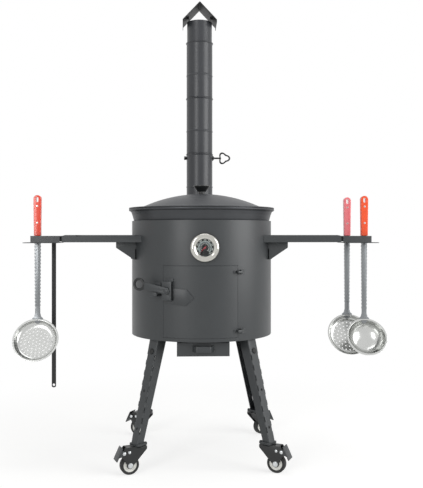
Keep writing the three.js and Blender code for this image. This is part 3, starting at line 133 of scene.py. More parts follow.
# Legs and casters. Pairs are values at a leg's foot and at its top.
LEG_FOOT, LEG_TOP = 80.3, 346.7
LEG_FACE = (257.5, 187)  # drum's axis to the leg's outer face
LEG_WIDTH, LEG_DEPTH = (25, 34), (22, 31)
LEG_SHEET = 2
LEG_TILT = math.atan2(LEG_FACE[0] - LEG_FACE[1], LEG_TOP - LEG_FOOT)
LEG_BOLT_Z, LEG_BOLT_HOLE_R = LEG_TOP - 32, 4.5
LEG_TURNS = {"front_left": 225, "front_right": 315, "rear_left": 135, "rear_right": 45}
SWIVEL_REACH = 242.5
FOOT_HALF = 17
CASTER_TURNS = {"front_left": 201, "front_right": -26, "rear_left": 152, "rear_right": 30}
AXLE, BRAKE_PIN, FORK_RIVET = (25, 25), (42.5, 59), (27.5, 60)  # ahead of the swivel, above the floor

# Shelves and what hangs from them
SHELF_TOP, SHELF_END_TOP = 628, 625.5
SHELF_END, SHELF_STEP = 468, 383
SHELF_HALF, SHELF_SHEET = 110, 2
SHELF_LOW = 608  # lower edge of its folded sides
BRACKET_SHEET = 3
FRONT_HANG, BACK_HANG = 453, 423
FRONT_CHANNEL, BACK_CHANNEL = -84, -6
GATE = (-115, -3)
RACK_TOP = SHELF_LOW - GAP
GRIP_STRAIGHT = 92  # height of a grip's straight sides

# Camera, from the photograph's perspective in pixels
FRAME_HEIGHT, FOCAL_LENGTH, HORIZON_ABOVE = 488, 700, 9
SENSOR = 36
CAMERA_LEFT, CAMERA_TURN = 0.0531, math.radians(-2.31)

# Soft lights: place, aim, width and height in metres, and share of the key light
LIGHTS = {
    "softbox_left": ((-1.35, -2.25, 1.3), (0, 0, 0.75), 0.8, 1.7, 1.25),
    "softbox_right": ((2.25, -1.1, 1.25), (0, 0, 0.75), 1.7, 1.8, 2.3),
    "softbox_top": ((0, 0.1, 3.0), (0, 0, 0.5), 1.6, 1.6, 1),
}


def linear(hex_colour):
    """An sRGB hex colour as linear red, green, blue and full alpha."""
    channels = [int(hex_colour[i : i + 2], 16) / 255 for i in (1, 3, 5)]
    return [c / 12.92 if c <= 0.04045 else ((c + 0.055) / 1.055) ** 2.4 for c in channels] + [1]


class StoveColours(bpy.types.PropertyGroup):
    """Colours of the stove's finishes"""

    body: FloatVectorProperty(
        name="Drum coat", description="Powder coat of the drum, shelves and legs", subtype="COLOR",
        default=linear("#35383a")[:3], min=0, max=1,
    )
    pipe: FloatVectorProperty(
        name="Chimney coat", description="Heat-proof coat of the chimney", subtype="COLOR",
        default=linear("#34363a")[:3], min=0, max=1,
    )
    iron: FloatVectorProperty(
        name="Cast iron", description="Oiled cast iron of the cauldron and lid", subtype="COLOR",
        default=linear("#3d3f42")[:3], min=0, max=1,
    )


class StoveSizes(bpy.types.PropertyGroup):
    """Sizes that the frame leaves open, in millimetres"""

    sides: IntProperty(name="Sides", description="Flat faces round the drum", default=144, min=48, max=256)
    edge: FloatProperty(
        name="Edge", description="Rounding of a cut sheet's edge, in millimetres", default=0.4, min=0.1, max=1
    )
    fold: FloatProperty(
        name="Fold", description="Outer radius of a folded sheet, in millimetres", default=2.5, min=1, max=5
    )


class StoveStage(bpy.types.PropertyGroup):
    """Camera and lights"""

    distance: FloatProperty(
        name="Distance", description="Camera to the drum's axis", default=2.0263, unit="LENGTH"
    )
    height: FloatProperty(name="Height", description="Camera above the floor", default=0.628, unit="LENGTH")
    key: FloatProperty(
        name="Key light", description="Strength of the main soft light, in watts", default=18, min=0
    )


# Helpers for modelling


def deselect():
    if bpy.context.object and bpy.context.object.mode != "OBJECT":
        bpy.ops.object.mode_set(mode="OBJECT")
    bpy.ops.object.select_all(action="DESELECT")


def only(piece):
    """Makes a piece the only selected one, and the active one."""
    deselect()
    piece.select_set(True)
    bpy.context.view_layer.objects.active = piece


def edit(piece):
    """Goes into edit mode with the whole piece selected."""
    only(piece)
    bpy.ops.object.mode_set(mode="EDIT")
    bpy.ops.mesh.select_all(action="SELECT")


def clean(piece):
    """Merges doubles and points the faces outwards."""
    edit(piece)
    bpy.ops.mesh.remove_doubles(threshold=MERGE)
    bpy.ops.mesh.normals_make_consistent(inside=False)
    bpy.ops.object.mode_set(mode="OBJECT")
    return piece


def fillet(outline):
    """Rounds each corner of an outline that gives a radius as its third number."""
    made = []
    for i, (x, y, *radius) in enumerate(outline):
        if not radius:
            made.append((x, y))
            continue
        here = Vector((x, y))
        before = Vector(outline[i - 1][:2]) - here
        after = Vector(outline[(i + 1) % len(outline)][:2]) - here
        reach = radius[0] / math.tan(max(before.angle(after), 0.01) / 2)
        start = here + before.normalized() * min(reach, before.length * 0.49)
        end = here + after.normalized() * min(reach, after.length * 0.49)
        for step in range(CORNER_STEPS + 1):
            t = step / CORNER_STEPS
            made.append(tuple(start * (1 - t) ** 2 + here * 2 * t * (1 - t) + end * t**2))
    return made


def arc(x, y, radius, start, end, steps):
    """Points along an arc, its angles in degrees."""
    angles = [math.radians(start + (end - start) * i / steps) for i in range(steps + 1)]
    return [(x + radius * math.cos(a), y + radius * math.sin(a)) for a in angles]


def turned(profile, sides):
    """A piece turned about Z from radii and heights, whose outline closes on itself."""
    points = [(max(r, POLE), z) for r, z in fillet(profile)]
    if profile[0][0] or profile[-1][0]:
        points.append(points[0])
    deselect()
    r0, z0 = points[0]
    bpy.ops.mesh.primitive_circle_add(vertices=sides, radius=r0, location=(0, 0, z0))
    piece = bpy.context.object
    bpy.ops.object.transform_apply(location=True, rotation=False, scale=False)
    edit(piece)
    for r, z in points[1:]:
        bpy.ops.mesh.extrude_region_move(TRANSFORM_OT_translate={"value": (0, 0, z - z0)})
        bpy.ops.transform.resize(value=(r / r0, r / r0, 1), center_override=(0, 0, z))
        r0, z0 = r, z
    return clean(piece)


def placed():
    """The new primitive, with its place, turn and size applied to its mesh."""
    bpy.ops.object.transform_apply(location=True, rotation=True, scale=True)
    return bpy.context.object


def block(x0, x1, y0, y1, z0, z1):
    deselect()
    middle = ((x0 + x1) / 2, (y0 + y1) / 2, (z0 + z1) / 2)
    bpy.ops.mesh.primitive_cube_add(size=1, location=middle, scale=(x1 - x0, y1 - y0, z1 - z0))
    return placed()


def rod(radius, start, end, sides=32):
    """A round bar between two points."""
    deselect()
    start, end = Vector(start), Vector(end)
    facing = (end - start).to_track_quat("Z", "Y").to_euler()
    bpy.ops.mesh.primitive_cylinder_add(
        vertices=sides, radius=radius, depth=(end - start).length, location=(start + end) / 2, rotation=facing
    )
    return placed()


def across(radius, place, half, sides=32):
    """A round bar from front to back through a place that is given as X and Z."""
    x, z = place
    return rod(radius, (x, -half, z), (x, half, z), sides)


def plate(outline, low, high, facing="Z"):
    """A sheet cut to an outline. Facing is the axis that its thickness runs along."""
    points = fillet(outline)
    deselect()
    bpy.ops.mesh.primitive_circle_add(vertices=len(points), radius=1, fill_type="NGON")
    piece = bpy.context.object
    for corner, (x, y) in zip(piece.data.vertices, points):
        corner.co = (x, y, low)
    edit(piece)
    bpy.ops.mesh.extrude_region_move(TRANSFORM_OT_translate={"value": (0, 0, high - low)})
    bpy.ops.object.mode_set(mode="OBJECT")
    rows = {
        "Z": ((1, 0, 0), (0, 1, 0), (0, 0, 1)),
        "Y": ((1, 0, 0), (0, 0, 1), (0, 1, 0)),
        "X": ((0, 0, 1), (1, 0, 0), (0, 1, 0)),
    }
    piece.data.transform(Matrix(rows[facing]).to_4x4())
    return clean(piece)


def modify(piece, kind, **settings):
    """Adds a modifier and applies it."""
    only(piece)
    bpy.ops.object.modifier_add(type=kind)
    modifier = piece.modifiers[-1]
    for name, value in settings.items():
        setattr(modifier, name, value)
    bpy.ops.object.modifier_apply(modifier=modifier.name)
    return piece


def combine(piece, tools, operation):
    for tool in tools:
        modify(piece, "BOOLEAN", object=tool, operation=operation, solver="EXACT")
        bpy.data.objects.remove(tool)
    return piece


def cut(piece, *tools):
    return combine(piece, tools, "DIFFERENCE")


def common(piece, *tools):
    return combine(piece, tools, "INTERSECT")


def weld(piece, *others):
    return combine(piece, others, "UNION")


def gather(piece, *others):
    """Puts pieces that stay separate solids into one mesh."""
    only(piece)
    for other in others:
        other.select_set(True)
    bpy.ops.object.join()
    return piece


def bevel(piece, width, segments=2, angle=35):
    """Rounds the edges at which the faces turn by more than an angle in degrees."""
    return modify(
        piece, "BEVEL", width=width, segments=segments, limit_method="ANGLE", angle_limit=math.radians(angle),
        use_clamp_overlap=True, miter_outer="MITER_ARC",
    )


def move(piece, x=0, y=0, z=0):
    piece.data.transform(Matrix.Translation((x, y, z)))
    return piece


def turn(piece, angle, axis="Z"):
    piece.data.transform(Matrix.Rotation(angle, 4, axis))
    return piece


def flip(piece):
    """Mirrors a piece from right to left."""
    piece.data.transform(Matrix.Scale(-1, 4, (1, 0, 0)))
    edit(piece)
    bpy.ops.mesh.flip_normals()
    bpy.ops.object.mode_set(mode="OBJECT")


def copy_of(piece):
    only(piece)
    bpy.ops.object.duplicate(linked=False)
    return bpy.context.object


def remove(*pieces):
    for piece in pieces:
        bpy.data.objects.remove(piece)


def out_of_front(piece, angle=0, z=0):
    """Turns a piece drawn about +Z so that it looks out of the drum at an angle round from the front."""
    turn(piece, math.pi / 2, "X")
    move(piece, z=z)
    return turn(piece, angle)


def slice_of(from_angle, to_angle, z0, z1):
    """The part of the drum and its surroundings between two angles round from the front."""

    def along(angle):
        return (2.5 * DRUM_R * math.sin(angle), -2.5 * DRUM_R * math.cos(angle))

    return plate([(0, 0), along(from_angle), along(to_angle)], z0, z1)


def sheet_ring(inner, outer, z0, z1):
    """A rolled sheet about the drum's axis."""
    return turned([(inner, z0), (outer, z0), (outer, z1), (inner, z1)], sizes().sides)


def drum_core(radius, z0, z1):
    return turned([(0, z0), (radius, z0), (radius, z1), (0, z1)], sizes().sides)


def sizes():
    return bpy.context.scene.stove_sizes


def settle(piece, name, body, slot, *nodes, smooth=32):
    """Puts a finished piece in the frame, on its body, in place of the CAD nodes it stands for."""
    only(piece)
    piece.data.transform(Matrix.Translation(DRUM_AXIS) @ Matrix.Scale(MM, 4))
    bpy.ops.object.shade_smooth_by_angle(angle=math.radians(smooth))
    piece.name = piece.data.name = name
    piece.data.materials.clear()
    piece.data.materials.append(finish_for(slot))
    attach(piece, body)
    if nodes:
        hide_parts(*nodes)


# Finishes


def fill(made, settings):
    """Sets a node's sockets by name, with _ for a space, and its own values by theirs."""
    for name, value in settings.items():
        socket = name.replace("_", " ")
        if socket in made.inputs:
            made.inputs[socket].default_value = value
        else:
            setattr(made, name, value)


def node(tree, kind, links=(), **settings):
    """Adds a node with its settings, and links its sockets to other nodes' outputs."""
    made = tree.nodes.new(kind)
    fill(made, settings)
    for socket, (other, output) in dict(links).items():
        tree.links.new(other.outputs[output], made.inputs[socket])
    return made


def material(name, **values):
    """A new material, its tree and its shader with some values set."""
    made = bpy.data.materials.new(name)
    made.use_nodes = True
    tree = made.node_tree
    shader = tree.nodes["Principled BSDF"]
    fill(shader, values)
    return made, tree, shader


def millimetres(tree, scale=(1, 1, 1), **settings):
    """Object coordinates in millimetres."""
    place = node(tree, "ShaderNodeTexCoord")
    scale = [s / MM for s in scale]
    return node(tree, "ShaderNodeMapping", {"Vector": (place, "Object")}, Scale=scale, **settings)


def drive(tree, shader, texture, colours=None, rough=None, relief=None):
    """Runs a shader's colour or roughness from one value to another over a texture, or gives it relief.

    Relief is a height in millimetres and a strength, and comes on top of the relief that is there.
    """
    if colours:
        mix = node(tree, "ShaderNodeMix", {0: (texture, 0)}, data_type="RGBA")
        mix.inputs[6].default_value, mix.inputs[7].default_value = colours
        tree.links.new(mix.outputs[2], shader.inputs["Base Color"])
    if rough:
        spread = node(tree, "ShaderNodeMapRange", {"Value": (texture, 0)}, To_Min=rough[0], To_Max=rough[1])
        tree.links.new(spread.outputs[0], shader.inputs["Roughness"])
    if relief:
        links = {"Height": (texture, 0)}
        for link in shader.inputs["Normal"].links:
            links["Normal"] = (link.from_node, 0)
        raised = node(tree, "ShaderNodeBump", links, Distance=relief[0] * MM, Strength=relief[1])
        tree.links.new(raised.outputs[0], shader.inputs["Normal"])


def colour_of(tone):
    """A colour from its sRGB hex value, or the panel's colour of that name."""
    if tone.startswith("#"):
        return linear(tone)
    return list(getattr(bpy.context.scene.stove_colours, tone)) + [1]


def shades(tone, *factors):
    """A colour made darker or lighter by each of some factors."""
    return [[min(1, c * factor) for c in colour_of(tone)[:3]] + [1] for factor in factors]


def powder_coat(name, tone, rough):
    # Polyester powder coat, sprayed and baked: a satin skin with a fine orange peel, here drawn at
    # 1.4 mm so that it shows, and faint clouds of 60 mm where the coat is thicker.
    made, tree, shader = material(name, IOR=1.5)
    place = millimetres(tree)
    clouds = node(tree, "ShaderNodeTexNoise", {"Vector": (place, 0)}, Scale=1 / 60, Detail=3)
    peel = node(tree, "ShaderNodeTexNoise", {"Vector": (place, 0)}, Scale=1 / 1.4, Detail=2)
    drive(tree, shader, clouds, shades(tone, 0.9, 1.1), (rough - 0.05, rough + 0.05))
    drive(tree, shader, peel, relief=(0.05, 0.35))
    return made


def cast_iron(name, tone):
    # Sand-cast iron, turned on its outside and oiled: fine pits from the sand at about 1.5 mm, darker
    # and lighter patches of oil, and faint rings that the tool left round the drum's axis.
    made, tree, shader = material(name, Metallic=0.35)
    place = millimetres(tree, Location=[-DRUM_AXIS.x / MM, -DRUM_AXIS.y / MM, 0])
    oil = node(tree, "ShaderNodeTexNoise", {"Vector": (place, 0)}, Scale=1 / 45, Detail=5, Roughness=0.6)
    sand = node(tree, "ShaderNodeTexNoise", {"Vector": (place, 0)}, Scale=1 / 1.5, Detail=3)
    rings = node(
        tree, "ShaderNodeTexWave", {"Vector": (place, 0)}, wave_type="RINGS", rings_direction="Z",
        Scale=1 / 22, Distortion=2.5, Detail=2, Detail_Scale=0.4,
    )
    drive(tree, shader, oil, shades(tone, 0.72, 1.25), (0.36, 0.5))
    drive(tree, shader, rings, relief=(0.3, 0.18))
    drive(tree, shader, sand, relief=(0.15, 0.5))
    return made


def chrome(name, tone):
    # Chrome plate on pressed steel, buffed: a clear mirror with faint smears.
    made, tree, shader = material(name, Base_Color=linear(tone), Metallic=1)
    smears = node(tree, "ShaderNodeTexNoise", {"Vector": (millimetres(tree), 0)}, Scale=1 / 14, Detail=2)
    drive(tree, shader, smears, rough=(0.08, 0.2))
    return made


def rolled_steel(name, tone, low, high):
    # Stainless steel sheet with fine lines along its length, drawn at 0.6 mm so that they show.
    made, tree, shader = material(name, Base_Color=linear(tone), Metallic=1)
    place = millimetres(tree, (1, 1, 0.04))
    lines = node(tree, "ShaderNodeTexNoise", {"Vector": (place, 0)}, Scale=1 / 0.6, Detail=2)
    drive(tree, shader, lines, rough=(low, high), relief=(0.02, 0.2))
    return made


def zinc_plate(name, dull, bright):
    # Bright zinc plate on bolts and rivets: a bluish white metal, a little dull.
    made, tree, shader = material(name, Metallic=1)
    bloom = node(tree, "ShaderNodeTexNoise", {"Vector": (millimetres(tree), 0)}, Scale=1 / 2.5, Detail=3)
    drive(tree, shader, bloom, (linear(dull), linear(bright)), (0.2, 0.38))
    return made


def plain(name, tone, rough, grain, height, low=0.92, high=1.08, **values):
    # A moulded or printed surface: one colour with faint clouds and a fine grain in millimetres.
    made, tree, shader = material(name, **values)
    place = millimetres(tree)
    clouds = node(tree, "ShaderNodeTexNoise", {"Vector": (place, 0)}, Scale=1 / (12 * grain), Detail=2)
    fine = node(tree, "ShaderNodeTexNoise", {"Vector": (place, 0)}, Scale=1 / grain, Detail=2)
    drive(tree, shader, clouds, shades(tone, low, high))
    drive(tree, shader, fine, rough=(rough - 0.04, rough + 0.04), relief=(height, 0.4))
    return made


def grip_plastic(name, tone):
    # Injection-moulded ABS with a high gloss and very faint flow clouds.
    return plain(name, tone, 0.24, 1.6, 0.01, 0.94, 1.06, Coat_Weight=0.4, Coat_Roughness=0.12)


def clear_glass(name, tone):
    # Flat float glass over the dial: clear, with sharp reflections. Its index is close to the air's, so
    # the dial shows through it almost unchanged.
    return material(name, Base_Color=linear(tone), Transmission_Weight=1, Roughness=0.02, IOR=1.05)[0]


# What makes each slot's finish, and the values that it is made with
FINISHES = {
    "coated_steel": (powder_coat, "satin_powder_coat", "body", 0.42),
    "coated_pipe": (powder_coat, "heat_proof_powder_coat", "pipe", 0.36),
    # The chimney's coat on the rain cap, painted darker as painted shade for the roof's shaded underside,
    # which is seen from below.
    "cap_coat_painted_shade": (powder_coat, "smoked_powder_coat", "#1c1d1e", 0.5),
    "black_steel": (powder_coat, "black_powder_coat", "#17191a", 0.38),
    # Bolts with black oxide: a thin matt film that swallows most of the light.
    "oxide_steel": (plain, "black_oxide_steel", "#0b0c0c", 0.6, 0.9, 0.01),
    "cast_iron": (cast_iron, "sand_cast_iron", "iron"),
    "chromed_steel": (chrome, "chrome_plate", "#bdbcb6"),
    # Pressed to a bowl and polished on a wheel: bright, with soft reflections.
    "stainless_steel": (rolled_steel, "polished_stainless_steel", "#c4c5c3", 0.14, 0.28),
    # Left brushed on the flat stems, so duller; its grey is also painted much darker than the bowls' steel,
    # as painted shade for the darker surroundings that the flat stems reflect.
    "brushed_steel_painted_shade": (rolled_steel, "brushed_stainless_steel", "#85888a", 0.26, 0.4),
    "zinc_plate": (zinc_plate, "bright_zinc_plate", "#b9bcbe", "#d9dcdd"),
    # Matt inks on the gauge's aluminium dial: black ground, white numbers and marks, a grey band.
    "dial_black": (plain, "dial_ink_black", "#16181a", 0.6, 0.6, 0.01),
    "dial_white": (plain, "dial_ink_white", "#e6e6e2", 0.6, 0.6, 0.01),
    "dial_grey": (plain, "dial_ink_grey", "#6c7274", 0.6, 0.6, 0.01),
    # Red enamel sprayed on the thin pressed needle.
    "needle_red": (plain, "needle_enamel", "#98202f", 0.35, 0.8, 0.01),
    "clear_glass": (clear_glass, "float_glass", "#f8fbfa"),
    # Moulded rubber tyre: deep black, dull, with a fine mould grain.
    "wheel_black": (plain, "moulded_rubber", "#161717", 0.62, 0.8, 0.05),
    # Ring and hub of the wheel, moulded in white and in black polypropylene.
    "wheel_white": (plain, "moulded_polypropylene_white", "#e9e9e4", 0.4, 0.9, 0.02),
    "wheel_hub": (plain, "moulded_polypropylene_black", "#232526", 0.45, 0.9, 0.03),
    "grip_red": (grip_plastic, "moulded_abs_red", "#e8401f"),
    "grip_pink": (grip_plastic, "moulded_abs_pink_red", "#ee7d84"),
    "grip_orange": (grip_plastic, "moulded_abs_orange_red", "#f2511b"),
}
made_finishes = {}


def finish_for(slot):
    """A slot's finish, made when it is first asked for."""
    if slot not in made_finishes:
        maker, *values = FINISHES[slot]
        made_finishes[slot] = maker(*values)
    return made_finishes[slot]


# Pieces


class STOVE_OT_drum(bpy.types.Operator):
    """Drum shell, its base, the ring that the cauldron hangs in, and the fire grate"""

    bl_idname = "stove.drum"
    bl_label = "Drum"

    def execute(self, context):
        settle(self.shell(), "drum_sheet", "stove", "coated_steel", "drum_shell")
        settle(self.base(), "drum_base_plate", "stove", "coated_steel", "drum_base")
        settle(self.hoop(), "support_hoop", "stove", "coated_steel", "support_ring")
        settle(self.grate(), "fire_grate_casting", "stove", "cast_iron", "fire_grate")
        return {"FINISHED"}

    def shell(self):
        mouth, clearance, past = 0.9, 0.45, DRUM_R + 5
        sheet = turned(
            [
                (DRUM_INNER, DRUM_BOTTOM), (DRUM_R, DRUM_BOTTOM, sizes().edge),
                (DRUM_R, DRUM_TOP, mouth), (DRUM_INNER, DRUM_TOP, mouth),
            ],
            sizes().sides,
        )
        opening = slice_of(
            DOOR_LEFT - clearance / DRUM_R, DOOR_RIGHT + clearance / DRUM_R,
            DOOR_LOW - clearance, DOOR_TOP + clearance,
        )
        port = block(-PORT_HALF, PORT_HALF, 0, past, PORT_LOW, PORT_TOP)
        stem = out_of_front(rod(GAUGE_STEM_R, (0, 0, 0), (0, 0, past)), GAUGE_ANGLE, GAUGE_Z)
        return bevel(cut(sheet, opening, port, stem), *SHARP_EDGE)

    def base(self):
        """Pan with a turned-up edge, an ash hole and a tongue for each leg."""
        rim, wall, wall_top = DRUM_INNER - GAP, DRUM_INNER - GAP - DRUM_SHEET, DRUM_BOTTOM + 14
        floor = DRUM_BOTTOM + DRUM_SHEET
        pan = turned(
            [
                (0, DRUM_BOTTOM), (rim, DRUM_BOTTOM, 1.6), (rim, wall_top, 0.5), (wall, wall_top, 0.5),
                (wall, floor, 1), (0, floor),
            ],
            sizes().sides,
        )
        cut(pan, block(-55, 55, -75, 75, DRUM_BOTTOM - 5, DRUM_BOTTOM + 5))
        return gather(pan, *[turn(leg_tongue(), math.radians(degrees)) for degrees in LEG_TURNS.values()])

    def hoop(self):
        inner, outer, low, edge = 194.8, DRUM_INNER - GAP, DRUM_TOP - 20, 0.8
        corners = [(inner, low, edge), (outer, low, edge), (outer, DRUM_TOP, edge), (inner, DRUM_TOP, edge)]
        return turned(corners, sizes().sides)

    def grate(self):
        low, radius, thick = DRUM_BOTTOM + DRUM_SHEET + GAP, 108, 6
        disc = turned([(0, low), (radius, low, 1), (radius, low + thick, 1), (0, low + thick)], 96)
        pitch, half_width, slotted = 20, 4, 94
        slots = []
        for i in range(-3, 4):
            x = pitch * i
            half = math.sqrt(slotted**2 - x**2)
            slots.append(block(x - half_width, x + half_width, -half, half, low - 5, low + thick + 5))
        return bevel(cut(disc, *slots), 0.6)


def lean(z, values):
    """What a pair of values for a leg's foot and top comes to at a height."""
    foot, top = values
    return foot + (z - LEG_FOOT) / (LEG_TOP - LEG_FOOT) * (top - foot)


def leg_solid(outset, margin, z0, z1, spare=0, thickness=None):
    """A leg's tapered leaning bar, drawn in at its face and sides, and deeper by spare or of a thickness."""

    def outer(z):
        return lean(z, LEG_FACE) - outset

    def inner(z):
        return outer(z) - thickness if thickness else lean(z, LEG_FACE) - lean(z, LEG_DEPTH) - spare

    def half(z):
        return lean(z, LEG_WIDTH) / 2 - margin

    side = plate([(inner(z0), z0), (outer(z0), z0), (outer(z1), z1), (inner(z1), z1)], -40, 40, "Y")
    front = plate([(-half(z0), z0), (half(z0), z0), (half(z1), z1), (-half(z1), z1)], 0, FAR, "X")
    return common(side, front)


def leg_tongue():
    tongue = leg_solid(LEG_SHEET + GAP, 4, DRUM_BOTTOM - 52, DRUM_BOTTOM + 0.5, thickness=3)
    cut(tongue, rod(LEG_BOLT_HOLE_R, (0, 0, LEG_BOLT_Z), (260, 0, LEG_BOLT_Z)))
    return bevel(tongue, 0.4, 1)


class STOVE_OT_door(bpy.types.Operator):
    """Fire door with its hinges and its latch"""

    bl_idname = "stove.door"
    bl_label = "Fire door"

    def execute(self, context):
        sheet = sheet_ring(DRUM_INNER, DRUM_R, DOOR_LOW, DOOR_TOP)
        panel = bevel(common(sheet, slice_of(DOOR_LEFT, DOOR_RIGHT, DOOR_LOW, DOOR_TOP)), *SHARP_EDGE)
        gather(panel, *[self.knuckle(z) for z in HINGE_HEIGHTS.values()])
        settle(panel, "fire_door_panel", "fire_door", "coated_steel", "fire_door")
        for name, z in HINGE_HEIGHTS.items():
            settle(self.hinge_post(z), "hinge_pin_" + name, "stove", "coated_steel", "hinge_post_" + name)
        face = gather(self.arrow(), self.bridge())
        settle(face, "latch_arrow_plate", "fire_door", "coated_steel", "latch_plate")
        settle(self.pivot(), "latch_pivot_rivet", "fire_door", "coated_steel", "latch_pivot")
        strap, ring = self.lever()
        settle(strap, "latch_lever_strap", "latch", "coated_steel", "latch_lever")
        settle(ring, "latch_pull_ring", "latch", "black_steel")
        settle(self.keeper(), "latch_keeper_hook", "stove", "coated_steel", "latch_keeper")
        return {"FINISHED"}

    def knuckle(self, z):
        """Barrel round the hinge pin, with its strap on the door and the arm between them."""
        low, high = z - 3.5, z + 3.5
        bore, radius = KNUCKLE_BORE, KNUCKLE_R
        barrel = turned([(bore, low), (radius, low, 0.4), (radius, high, 0.4), (bore, high)], 32)
        move(barrel, *HINGE_PLACE)
        ring = sheet_ring(DEEP, DRUM_R + HINGE_SHEET, low, high)
        strap = common(ring, slice_of(DOOR_RIGHT - 0.06, DOOR_RIGHT, low, high))
        inset = -HINGE_R * math.sin(HINGE_ANGLE - DOOR_RIGHT) - KNUCKLE_R
        front = -HINGE_R - KNUCKLE_R
        bridge = block(inset, 0, front, front + HINGE_SHEET, low, high)
        riser = block(inset, inset + HINGE_SHEET, front, -DEEP, low, high)
        arm = turn(bevel(weld(bridge, riser), 0.4), HINGE_ANGLE)
        return gather(barrel, bevel(strap, *THIN_EDGE), arm)

    def hinge_post(self, z):
        """Hinge pin between two arms that stand on the drum."""
        low, high = z - 5.8, z + 5.8
        pin = turned([(0, low), (HINGE_PIN_R, low, 0.6), (HINGE_PIN_R, high, 0.6), (0, high)], 24)
        move(pin, *HINGE_PLACE)
        arms = []
        for foot in (low, high - HINGE_SHEET):
            arm = block(-HINGE_PIN_R, 4.5, -HINGE_R - HINGE_PIN_R, -SKIN, foot, foot + HINGE_SHEET)
            arms.append(turn(bevel(arm, 0.5), HINGE_ANGLE))
        seat = sheet_ring(SKIN, SKIN + 1.5, low, high)
        common(seat, slice_of(HINGE_ANGLE, HINGE_ANGLE + 0.08, low, high))
        return gather(pin, *arms, bevel(seat, 0.3, 1, 50))

    def arrow(self):
        """Pointed plate that lies on the door."""
        back, shoulder, tip, half = -13.5, 49, 69, 21
        outline = [
            (back, -half, 2), (shoulder, -half, 3), (tip, 0, 1.5), (shoulder, half, 3), (back, half, 2),
        ]
        stamp = turn(plate(outline, -2 * DRUM_R, 0, "Y"), PLATE_SLOPE, "Y")
        turn(move(stamp, z=LATCH_Z - 13), LATCH_ANGLE)
        return bevel(common(sheet_ring(SKIN, SKIN + LATCH_SHEET, *LATCH_BAND), stamp), *CUT_EDGE)

    def bridge(self):
        """Bridge over the plate that carries the lever, with a welded flange above and below."""
        side, high, front, sheet, flange = 13.5, 25.5, LATCH_BACK - GAP, LATCH_SHEET, 7
        bridge = plate(
            [
                (-DEEP, high), (-front, high, 4), (-front, -high, 4), (-DEEP, -high), (-DEEP, sheet - high),
                (sheet - front, sheet - high, 1.5), (sheet - front, high - sheet, 1.5), (-DEEP, high - sheet),
            ],
            -side, side, "X",
        )
        cut(move(bridge, z=LATCH_Z), sheet_ring(1, SKIN, LATCH_Z - 40, LATCH_Z + 40))
        flanges = sheet_ring(SKIN, SKIN + sheet, *LATCH_BAND)
        common(flanges, block(-side, side, -FAR, 0, LATCH_Z - high - flange, LATCH_Z + high + flange))
        for part in (bridge, flanges):
            bevel(cut(part, rod(LATCH_HOLE_R, (0, -FAR, LATCH_Z), (0, 0, LATCH_Z))), *CUT_EDGE)
        seams = []
        for edge in (high + 0.4, -high - 0.4):
            y, z = -SKIN - sheet, LATCH_Z + edge
            seams.append(bevel(rod(1.5, (-side + 1, y, z), (side - 1, y, z), 12), 0.7))
        return turn(gather(bridge, flanges, *seams), LATCH_ANGLE)

    def pivot(self):
        foot, radius, head = SKIN + GAP, 4, LATCH_BACK + LEVER_SHEET + GAP
        corners = [(0, foot), (radius, foot), (radius, head)]
        corners += [(6.5, head, 0.5), (6.5, head + 1.4, 2), (0, head + 3)]
        return out_of_front(turned(corners, 48), LATCH_ANGLE, LATCH_Z)

    def lever(self):
        """Flat strap that turns on the pivot, and the pull ring at its end."""
        half, end, back, front = 9, -70, LATCH_BACK, LATCH_BACK + LEVER_SHEET
        round_end = [(0, -half), *arc(0, 0, half, -90, 90, 12)[1:-1], (0, half)]
        strap = plate([(end, -half, 2), *round_end, (end, half, 2)], back, front)
        cut(strap, rod(LATCH_HOLE_R, (0, 0, back - 5), (0, 0, back + 9)))
        bevel(strap, 0.7)
        deselect()
        bpy.ops.mesh.primitive_torus_add(
            major_radius=14, minor_radius=3.6, major_segments=64, minor_segments=20,
            location=(-83, 0, (back + front) / 2),
        )
        ring = placed()
        for piece in (strap, ring):
            turn(move(turn(turn(piece, math.pi / 2, "X"), LATCH_SLOPE, "Y"), z=LATCH_Z), LATCH_ANGLE)
        return strap, ring

    def keeper(self):
        """Hook on the drum that the lever drops into."""
        floor, lip, sheet = KEEPER_LOW, LATCH_BACK + 5.5, LATCH_SHEET
        hook = plate(
            [
                (-DEEP, floor, 1), (-lip - sheet, floor, 3), (-lip - sheet, KEEPER_LIP_TOP, 0.8),
                (-lip, KEEPER_LIP_TOP, 0.8), (-lip, floor + sheet, 1), (-DEEP, floor + sheet),
            ],
            *KEEPER_SIDES, "X",
        )
        cut(hook, sheet_ring(1, SKIN, floor - 5, floor + 9))
        back = sheet_ring(SKIN, SKIN + sheet, floor, floor + 36)
        common(back, block(*KEEPER_SIDES, -FAR, 0, floor - 5, floor + 50))
        return turn(gather(bevel(hook, *CUT_EDGE), bevel(back, *CUT_EDGE)), LATCH_ANGLE)


